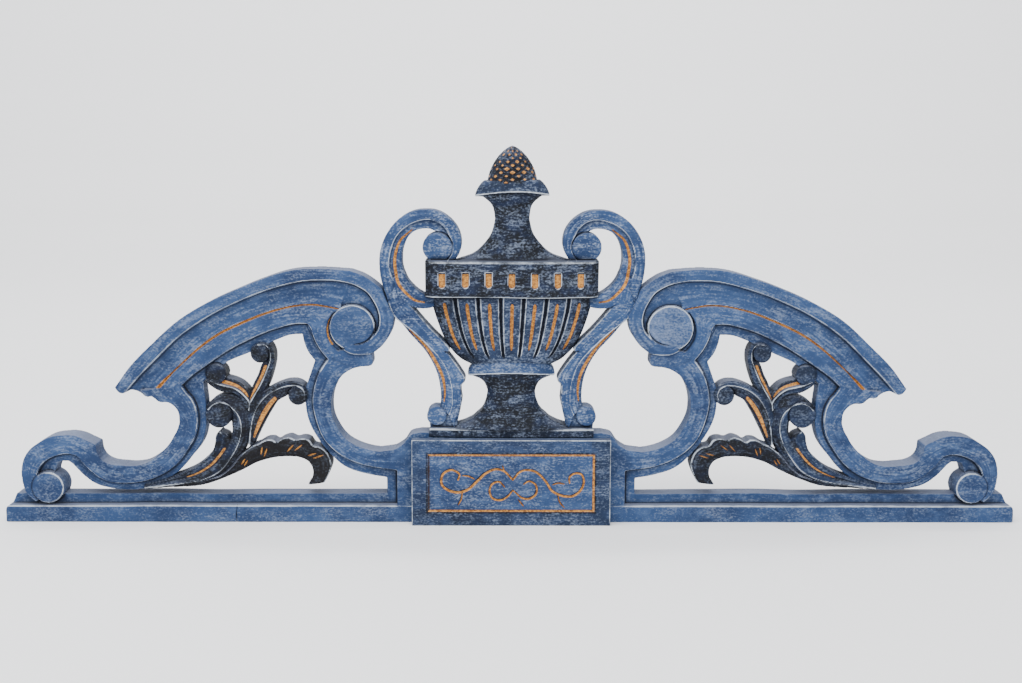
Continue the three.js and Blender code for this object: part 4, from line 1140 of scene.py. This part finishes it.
# %% Carve the handles
HANDLE_EDGE = [
    68, 311, 61.5, 321, 59, 333, 61.7, 346.5, 70, 358.5, 84.3, 368.3, 101, 371, 118, 367.8, 134.5, 357,
    147, 340.5, 153.5, 323, 154.5, 306, 151.5, 285.5, 139.6, 255, 119.6, 226.5, 102, 206.4, 93, 192,
    87, 178, 83.7, 162, 83, 150, 84, 138]
LOOP_RIDGE = [
    76, 311, 70, 320, 68.5, 330, 72.5, 341, 76.5, 348.5, 84.3, 355.7, 94.6, 359.3, 107, 358.2, 121.5, 352,
    134, 340.1, 140.9, 324.5, 143.1, 310, 141.7, 297.5, 136.6, 285, 130, 268]
LOOP_INSIDE = [
    82, 311, 77, 319, 75, 328, 77, 337, 86.6, 345.1, 94.9, 349, 103.2, 349.2, 113.6, 346, 122, 338,
    127.2, 326.3, 128.8, 313.8, 127.2, 301.3, 121.8, 289, 115, 280]
SWEEP_RIDGE = [
    143, 262, 136.7, 247.2, 127.8, 239, 118.2, 231.5, 109.3, 223.9, 99.9, 214.6, 91.4, 205.8, 83.4, 196.4,
    77, 186, 73.2, 176, 70.4, 165, 69.2, 147.5, 70.6, 136, 73.6, 128]
SWEEP_INSIDE = [
    [133, 292, 126, 266, 114.5, 254.8, 108.5, 247.5, 100, 237.4, 90, 226.6, 82, 219, 74, 209.6, 73, 206.4],
    [75.8, 203.6, 68.6, 194.5, 60.6, 183, 54.6, 172.4, 55, 169, 58.6, 165, 59.4, 157, 58.3, 146,
     61.2, 134.7, 66, 121, 67, 112]]
BUTTON, BUTTON_RADIUS = [86.3, 327.6], 17.2
ROLL, ROLL_RADIUS = [88.2, 127.2], 11.5
GOUGE = 4.4
HANDLE_STEPS = 1500


def carve_handle(board, flip):
    def place(spots):
        spots = np.asarray(spots, float)
        return (on_urn(spots) * [flip, 1]) + np.stack([leaning(spots[..., 1]), 0 * spots[..., 1]], axis=-1)

    def run(count, *parts):
        return rail(count, *parts, place=place)

    loop = [run(HANDLE_STEPS, points) for points in (HANDLE_EDGE[:28], LOOP_RIDGE, LOOP_INSIDE)]
    sinks = -4.2 * unit((np.linspace(0, 1, HANDLE_STEPS) - 0.72) / 0.2)
    board.moulding(loop, [
        (0, 0, 29), (0, 1.0, 30.2), (0.5, 0, 30.8), (1, -1.1, 30.4), (1, -0.5, 30.4, PALE), (1, 0, 29.6),
        (1, 0.9, 26.8), (1.3, 0, 26.2), (1.7, 0, 27), (2, -1, 27.6), (2, 0, 26.4)], lift=sinks)
    upper = run(220, [
        116, 347.6, 122.3, 342.5, 129.4, 335.8, 134.6, 324.4, 136.8, 311.9, 135.6, 297.3, 131.5, 283.7,
        122.3, 272.2, 113, 265, 102, 262.6])
    sweep = [run(HANDLE_STEPS, HANDLE_EDGE[24:]), run(HANDLE_STEPS, SWEEP_RIDGE),
             run((800, HANDLE_STEPS - 799), *SWEEP_INSIDE)]
    # painted shade: the inner edge of the sweep is painted dark, on its shadowed wall
    board.moulding(sweep, [
        (0, 0, 25.6, {"dark": 0.5}), (0, 0.8, 26.6, {"dark": 0.5}), (0.5, 0, 27), (1, -1.2, 28.6),
        (1, -0.5, 29, PALE), (1, 0.2, 28.6), (1.5, 0, 28.2), (2, -1.4, 28.4), (2, -0.8, 28.2, FAINT),
        (2, 0, 25, {"dark": 1.0})])
    lower = run(200, [
        120, 231, 112, 222.6, 106.4, 216.9, 97.8, 206.4, 92, 197, 86, 186.4, 81.6, 176, 79.2, 165,
        78.6, 154, 79.5, 145])
    board.stroke(lower, GOUGE, 2.0, "gilt", taper=0.75)
    hook_low = run(500, [
        140, 290, 134.8, 279, 130.5, 272.4, 124.6, 262.5, 115.2, 257.2, 105.8, 255.8, 96.4, 256.3,
        91, 257.8])
    hook_high = run(500, [126, 298, 121.8, 289, 113, 279.2, 103.4, 272.8, 98, 270.6, 91, 270])
    board.moulding([hook_low, hook_high], [
        (0, 0, 26, FAINT), (0, 0.9, 27.6), (0.3, 0, 28), (0.5, 0, 25.6), (0.62, 0, 26), (0.8, 0, 27.2),
        (1, -0.8, 27), (1, 0, 25.6)])
    board.stroke(upper, GOUGE, 2.2, "gilt", taper=0.75)
    button = place(BUTTON)
    # painted shade: a dark crescent in the cut over the top of the button, under the curl
    shell = soft_line(board.away(button) - 17.8, 0.7) * unit((board.z - button[1]) / 6)
    board.shaded_moat(shell, 2.4)
    board.disc(button, BUTTON_RADIUS, 30.8, dome=1.4, edge=1.1)
    board.disc(place(ROLL), ROLL_RADIUS, 30.6, dome=1.0, edge=1.1)
    seat = place([[60, 136], [70, 142], [83, 140], [97, 122], [95.5, 110], [66, 110]])
    board.plate(seat, 26.5, dark=0.3)
    # painted shade: the notch is painted dark
    notch = run(30, [79, 205, 73.4, 203.2, 71, 200])
    board.stroke(notch, 1.8, 2.4, "dark", taper=0.4)


print("the handles spring from the frieze")

# %% [markdown]
# ## The applied block
#
# The block is a plain box whose face is incised: a double frame line and a run of scrollwork,
# all picked out in gilt. Shallow gouge cuts along a few drawn lines make it.

# %% Carve the block
LEFT_SCROLL = [
    -62.3, 55.3, -60.7, 62, -70.3, 67.1, -80, 62, -81.6, 50.2, -75.2, 43.5, -62.3, 40.1, -51.1, 43.5,
    -39.8, 53.6, -30.1, 62.9, -18.9, 67.9, -9.2, 66.3, 2, 55.3]
RIGHT_SCROLL = [
    2, 55.3, 10.1, 64.6, 18.1, 67.1, 29.3, 64.6, 40.6, 53.6, 48.6, 41.8, 61.5, 35.9, 72.8, 35.9,
    82.4, 43.5, 85.6, 53.6, 82.4, 62, 74.4, 62.9, 68.7, 58.7, 68.7, 51.9]
LEFT_CURL = [
    -7.6, 46.9, -14.1, 52.8, -22.1, 50.2, -25.3, 41.8, -22.1, 33.4, -12.5, 30.8, -4.4, 35, 2, 42.6]
RIGHT_CURL = [
    14.9, 50.2, 21.3, 53.6, 29.3, 48.5, 29.3, 38.4, 21.3, 32.5, 13.3, 33.4, 5.2, 40.1, 2, 42.6]
TENDRILS = [
    [-43, 56.1, -50, 59.6, -57.5, 60.4], [-57.5, 40.1, -58.6, 32, -62.3, 24.9],
    [48.6, 49.4, 55.6, 51.4, 63.1, 50.2], [55.1, 36.7, 57.6, 28, 63.1, 21.5], [-10, 72.2, -8.4, 67.1],
    [8.4, 31.7, 14.9, 23.2]]
PANEL_EDGE, PANEL_LOW, PANEL_HIGH = 98.5, 16.5, 86.5


def carve_block():
    half = BLOCK_HIGH[0]
    board = Board((-half - 1, -1), (half + 1, BLOCK_HIGH[2] + 1), CELL["block"])
    where = (np.abs(board.x) <= half - 0.05) & (board.z <= BLOCK_HIGH[2] - 0.05)
    left, right = board.x + PANEL_EDGE, PANEL_EDGE - board.x
    below, above = board.z - PANEL_LOW, PANEL_HIGH - board.z
    nearest = np.minimum(np.minimum(left, right), np.minimum(below, above))
    from_corner = np.minimum(half - np.abs(board.x), np.minimum(board.z, BLOCK_HIGH[2] - board.z))
    groove = unit(1 - ((nearest - 1.6) / 1.5) ** 2)
    dim = (above < np.minimum(np.minimum(left, right), below)) | (left < np.minimum(right, below))
    between = np.where(left <= nearest, soft_line(left - 1.6, 0.6), 0)
    inside = nearest > 3.2
    rubbed = 0.3 * soft_line(from_corner - 0.6, 0.5) * (board.z > 3)
    # painted shade: the frame is darker still along its right and bottom edges
    tone = np.where(inside, 0.0, 0.42 + 0.25 * ((right < 4) | (below < 4))) + 1.2 * between
    board.put(where, BLOCK_FRONT - 0.5 - 1.4 * groove - 0.4 * unit(1 - (nearest + 0.6) ** 2),
              dark=tone + 0.8 * unit(1 - (nearest + 0.7) ** 2), pale=rubbed,
              gilt=unit(1.6 * groove) * (1 - between) * np.where(dim, 0.72, 1))
    cuts = [(LEFT_SCROLL, 3.4, 0.4), (RIGHT_SCROLL, 3.1, 0.35), (LEFT_CURL, 2.7, 0.5), (RIGHT_CURL, 2.7, 0.5)]
    for points, width, taper in cuts + [(tendril, 1.8, 0.7) for tendril in TENDRILS]:
        line = rail(220, points)
        # painted shadow: each gilt cut has a dark copy shifted up and to the left, on its shaded wall
        board.stroke(line + [-0.5, 0.9], width + 0.6, 0.5, "dark", taper=taper)
        board.stroke(line, width, 1.5, "gilt", taper=taper)
    return board


print("the block's face stands", round(BLOCK_FRONT, 1), "mm above the back")

# %% [markdown]
# ## Shader maths
#
# Finishes read better as sums than as wiring. A small class wraps a node socket and lets plain
# Python operators add the Math nodes.

# %% A socket that does arithmetic
class Signal:
    def __init__(self, nodes, socket):
        self.nodes = nodes
        self.socket = socket

    def math(self, kind, first, second, clamp=False):
        return self.nodes.node("ShaderNodeMath", {"operation": kind, "use_clamp": clamp}, [first, second])

    def __add__(self, other):
        return self.math("ADD", self, other)

    def __sub__(self, other):
        return self.math("SUBTRACT", self, other)

    def __rsub__(self, other):
        return self.math("SUBTRACT", other, self)

    def __mul__(self, other):
        return self.math("MULTIPLY", self, other)

    __radd__ = __add__
    __rmul__ = __mul__

    def clamp(self):
        return self.math("ADD", self, 0.0, clamp=True)

    def between(self, low, high):
        return self.nodes.node("ShaderNodeMapRange", {"interpolation_type": "SMOOTHSTEP"},
                               {"Value": self, "From Min": low, "From Max": high}, "Result")


print("a signal wraps one socket")

# %% [markdown]
# ## One way to add a node
#
# Every other node comes from one method, which sets the node's own options first and then fills
# its sockets with numbers or links. A finish is a material with that method and a few short cuts.

# %% A finish that builds its own nodes
class Finish:
    def __init__(self, name):
        self.material = bpy.data.materials.new(name)
        self.material.use_nodes = True
        self.tree = self.material.node_tree
        self.shader = self.tree.nodes["Principled BSDF"]

    def node(self, kind, settings, inputs, output=0):
        made = self.tree.nodes.new(kind)
        for key, value in settings.items():
            setattr(made, key, value)
        pairs = inputs.items() if isinstance(inputs, dict) else enumerate(inputs)
        for key, value in pairs:
            if isinstance(value, Signal):
                self.tree.links.new(value.socket, made.inputs[key])
            else:
                made.inputs[key].default_value = value
        return Signal(self, made.outputs[output])

    def mark(self, name):
        return self.node("ShaderNodeAttribute", {"attribute_name": name}, {}, "Fac")

    def noise(self, scale, detail, stretch=(1, 1, 1), roughness=0.55):
        where = self.node("ShaderNodeTexCoord", {}, {}, "Object")
        where = self.node("ShaderNodeMapping", {}, {"Vector": where, "Scale": stretch})
        return self.node("ShaderNodeTexNoise", {}, {
            "Vector": where, "Scale": scale, "Detail": detail, "Roughness": roughness}, "Fac")

    def mix(self, share, below, above):
        return self.node("ShaderNodeMix", {"data_type": "RGBA"}, {0: share, 6: below, 7: above}, 2)

    def set(self, **values):
        for key, value in values.items():
            socket = self.shader.inputs[key.replace("_", " ")]
            if isinstance(value, Signal):
                self.tree.links.new(value.socket, socket)
            else:
                socket.default_value = value


def srgb(red, green, blue):
    channels = [c / 255 for c in (red, green, blue)]
    return tuple(c / 12.92 if c <= 0.04045 else ((c + 0.055) / 1.055) ** 2.4 for c in channels) + (1.0,)


print("mid blue", [round(c, 3) for c in srgb(74, 104, 152)])

# %% [markdown]
# ## The colours
#
# Colours are read from the piece and named for what they are on it: the chalky blue in three
# tones, the dry-brushed pale, the glaze and soot with painted shade, dirt with painted shade,
# chalk with a painted highlight, dust with painted light on the tops, and gold.

# %% Name the colours
BLUE = srgb(42, 64, 101)
BLUE_DEEP = srgb(30, 47, 79)
BLUE_LIGHT = srgb(70, 92, 129)
BRUSHED = srgb(136, 150, 174)
GLAZE_AND_SHADE = srgb(11, 14, 21)
GLAZE_AND_SHADE_BLUE = srgb(24, 34, 57)
SOOT_AND_SHADE = srgb(17, 15, 16)
DIRT_AND_SHADE = srgb(16, 20, 31)
CHALK_AND_HIGHLIGHT = srgb(186, 194, 204)
DUST_AND_TOP_LIGHT = srgb(114, 121, 140)
GOLD = srgb(204, 144, 68)
GOLD_DEEP = srgb(118, 76, 42)
print("the glaze is", round(BLUE[2] / GLAZE_AND_SHADE[2], 1), "times darker than the blue")

# %% [markdown]
# ## The worn paint
#
# The real finish is layered: a chalky blue, a near-black glaze on the urn and leaves, a pale
# dry-brushed scumble that follows the grain, gilt in the cuts, and pale wood or ground showing
# where edges are rubbed. Each layer is one mask over the colour below it. The glaze and soot
# also carry painted shade in cuts and creases, the pale layer a painted highlight on the boss
# rim, the hollows dirt and painted shade, and the tops dust and painted light.

# %% Mix the paint
CLOUD, MOTTLE, RUBBED, GRAIN, SPECK, GRIT = 10.0, 52.0, 34.0, 85.0, 330.0, 800.0
SHINE = 0.2


def paint(name, scumble, streaks, top_dust_and_light):
    finish = Finish(name)
    wear, hollow, brush = finish.mark("wear"), finish.mark("hollow"), finish.mark("brush")
    gilt, dark, pale = finish.mark("gilt"), finish.mark("dark"), finish.mark("pale")
    cloud = finish.noise(CLOUD, 4.0)
    mottle = finish.noise(MOTTLE, 5.0, (1.0, 1.0, 1.6), 0.62)
    grain = finish.noise(GRAIN, 6.0, (1.0, 1.0, 6.5), 0.68)
    speck = finish.noise(SPECK, 4.0, (1.0, 1.0, 1.5), 0.6)
    grit = finish.noise(GRIT, 2.0)

    blue = finish.mix(cloud.between(0.36, 0.64), BLUE_DEEP, BLUE)
    blue = finish.mix((mottle + brush * 0.06).between(0.42, 0.78) * 0.7, blue, BLUE_LIGHT)
    glaze_and_shade = finish.mix(mottle.between(0.4, 0.7), GLAZE_AND_SHADE, GLAZE_AND_SHADE_BLUE)
    # the dark mark takes the glaze and soot, and painted shade in cuts and creases
    colour = finish.mix(dark.clamp(), blue, glaze_and_shade)
    colour = finish.mix((dark - 1.0).clamp(), colour, SOOT_AND_SHADE)
    rubbed_here = finish.noise(RUBBED, 3.0, (1.0, 1.0, 2.4), 0.6).between(0.36, 0.72)
    strokes = grain * (0.6 * streaks) + speck * 0.6 + brush * 0.05 + 0.3 * (1 - streaks) + rubbed_here * 0.1
    cover = (1.0 - dark.clamp() * 0.35 - (dark - 1.0).clamp() * 0.45) * scumble
    colour = finish.mix(strokes.between(0.6, 0.84) * cover, colour, BRUSHED)
    # hollows are darkened: dirt, and painted shade in the creases
    colour = finish.mix((hollow * 0.7).clamp(), colour, DIRT_AND_SHADE)

    # upward faces turn grey: dust, and painted light on the tops
    normal = finish.node("ShaderNodeTexCoord", {}, {}, "Normal")
    up = finish.node("ShaderNodeSeparateXYZ", {}, [normal], "Z")
    dust_and_top_light = up.between(0.5, 0.95) * (0.35 + 0.65 * cloud) * top_dust_and_light
    colour = finish.mix(dust_and_top_light, colour, DUST_AND_TOP_LIGHT)

    gold = finish.mix(speck.between(0.35, 0.65), GOLD_DEEP, GOLD)
    leafed = (gilt * 1.3 - speck * 0.5).between(0.25, 0.6)
    colour = finish.mix(leafed, colour, gold)

    # pale is rubbed wear, and on the boss's left rim a painted highlight
    rubbed = (wear * 0.6 + pale * 1.35) * (mottle * 1.7 - 0.1) - grit * 0.35
    colour = finish.mix(rubbed.between(0.12, 0.75) * 0.85, colour, CHALK_AND_HIGHLIGHT)

    rough = 0.66 + 0.16 * speck - leafed * 0.12
    relief = grain * 0.4 + mottle * 0.3 + speck * 0.3 + grit * 0.15
    bump = finish.node("ShaderNodeBump", {}, {"Strength": 0.3, "Distance": 0.001, "Height": relief}, "Normal")
    finish.set(Base_Color=colour, Roughness=rough, Normal=bump, Specular_IOR_Level=SHINE)
    return finish.material


WING_PAINT = paint("worn blue paint", scumble=0.46, streaks=0.25, top_dust_and_light=0.85)
URN_PAINT = paint("dark blue glaze", scumble=0.8, streaks=0.7, top_dust_and_light=0.4)
BLOCK_PAINT = paint("blue panel paint", scumble=0.6, streaks=0.75, top_dust_and_light=0.3)
print("three finishes mixed")

# %% [markdown]
# ## Carve, mesh and hang the pieces
#
# Both wings are carved from the same drawing, each with its own hand: the small waviness of
# the surface and of the lines comes from a different seed.

# %% Make the wings
CELL = {"wing": 0.97, "urn": 0.94, "block": 0.6}
HANDLE_ROOM = 1.6
RIGHT_DARK, RIGHT_GILT = 0.72, 0.8


def carve_wing(left):
    board = Board((JOINT - 1, -1), (REACH + 1, WING_TOP + 1), CELL["wing"])
    carve_arch(board)
    carve_volute(board, gilded=left)
    carve_outer_scroll(board)
    carve_inner_scroll(board)
    cut_tip(board)
    carve_stems(board)
    carve_leaf(board)
    carve_buttons(board)
    if not left:
        board.marks["dark"] *= RIGHT_DARK
        board.marks["gilt"] *= RIGHT_GILT
    carve_rail(board, cracked=left)
    edge = rail(600, HANDLE_EDGE, place=on_urn)
    along = np.gradient(edge, axis=0)
    along /= np.linalg.norm(along, axis=1, keepdims=True)
    room = edge + HANDLE_ROOM * np.stack([-along[:, 1], along[:, 0]], axis=1)
    board.cut(board.inside(room))
    board.cut((board.x < JOINT) | (board.z < 0))
    return board


for wing_name, left, hand in (("wing_left", True, 11), ("wing_right", False, 29)):
    wing_mesh = board_mesh(wing_name + "_carved", carve_wing(left), left, hand)
    add_piece(wing_name + "_carved", wing_mesh, wing_name, WING_PAINT)

# %% [markdown]
# ## The urn's board
#
# The urn and its handles are one board too. It runs down plain behind the block, with a
# plinth for the foot to stand on.

# %% Make the urn
URN_ROOM = 157


def carve_urn():
    board = Board((-URN_ROOM, -1), (URN_ROOM, URN_TOP + 1), CELL["urn"])
    inside = np.abs(board.x) <= URN_BOARD
    board.put(inside & (board.z <= PLINTH_TOP - 2), BOARD)
    board.put(inside & (board.z >= PLINTH_LOW) & (board.z <= PLINTH_TOP), PLINTH_FRONT, dark=0.9,
              pale=0.75 * soft_line(board.z - PLINTH_TOP + 0.9, 0.6))
    for flip in (-1, 1):
        carve_handle(board, flip)
    carve_members(board)
    carve_bowl(board)
    carve_frieze(board)
    carve_finial(board)
    board.cut(board.z < 0)
    return board


urn_mesh = board_mesh("urn_carved", carve_urn(), False, 47)
add_piece("urn_carved", urn_mesh, "urn", URN_PAINT)

# %% [markdown]
# ## The block's board
#
# The block is sawn and planed rather than carved, so its face waves less and its edges stay
# straight. Its back ends where the urn's board begins.

# %% Make the block
block_board = carve_block()
block_board.cut(block_board.z < 0)
block_mesh = board_mesh("block_carved", block_board, False, 61, relief=0.08, warp=0.0, back=BLOCK_BACK)
add_piece("block_carved", block_mesh, "centre_block", BLOCK_PAINT)

# %% [markdown]
# ## Stage and light
#
# A pale sweep stands in for floor and wall. A wide soft light from above and a weaker one from
# the front keep the shadows short and soft, so the carving reads by its own edges.

# %% Set the stage and the lights
SWEEP = [(-4.0, 0.0), (2.9, 0.0), (3.3, 0.03), (3.6, 0.14), (3.78, 0.36), (3.86, 0.7), (3.88, 3.4)]
STAGE_HALF = 5.0
LIGHTS = [
    ("sky light", (2.6, 1.6), 76, (-0.5, -0.9, 2.3), (0.0, 0.0, 0.2)),
    ("front light", (2.4, 1.6), 34, (0.4, -2.6, 1.2), (0.0, 0.0, 0.2)),
    ("wall light", (5.0, 1.0), 150, (0.0, 1.2, 3.2), (0.0, 3.9, 0.9)),
]
SKY, SKY_STRENGTH = srgb(240, 242, 246), 1.12


def add_stage():
    points = [(x, y, z) for y, z in SWEEP for x in (-STAGE_HALF, STAGE_HALF)]
    faces = [(i, i + 1, i + 3, i + 2) for i in range(0, len(points) - 2, 2)]
    mesh = bpy.data.meshes.new("stage")
    mesh.from_pydata(points, [], faces)
    mesh.shade_smooth()
    stage = bpy.data.objects.new("stage", mesh)
    bpy.context.scene.collection.objects.link(stage)
    finish = Finish("stage paper")
    finish.set(Base_Color=srgb(248, 248, 249), Roughness=0.9)
    mesh.materials.append(finish.material)


def add_light(name, size, power, place_at, aim):
    data = bpy.data.lights.new(name, "AREA")
    data.shape = "RECTANGLE"
    data.size, data.size_y = size
    data.energy = power
    light = bpy.data.objects.new(name, data)
    light.location = place_at
    light.rotation_euler = (Vector(aim) - Vector(place_at)).to_track_quat("-Z", "Y").to_euler()
    bpy.context.scene.collection.objects.link(light)


add_stage()
for light in LIGHTS:
    add_light(*light)
world = bpy.data.worlds.new("studio")
world.use_nodes = True
world.node_tree.nodes["Background"].inputs["Color"].default_value = SKY
world.node_tree.nodes["Background"].inputs["Strength"].default_value = SKY_STRENGTH
bpy.context.scene.world = world
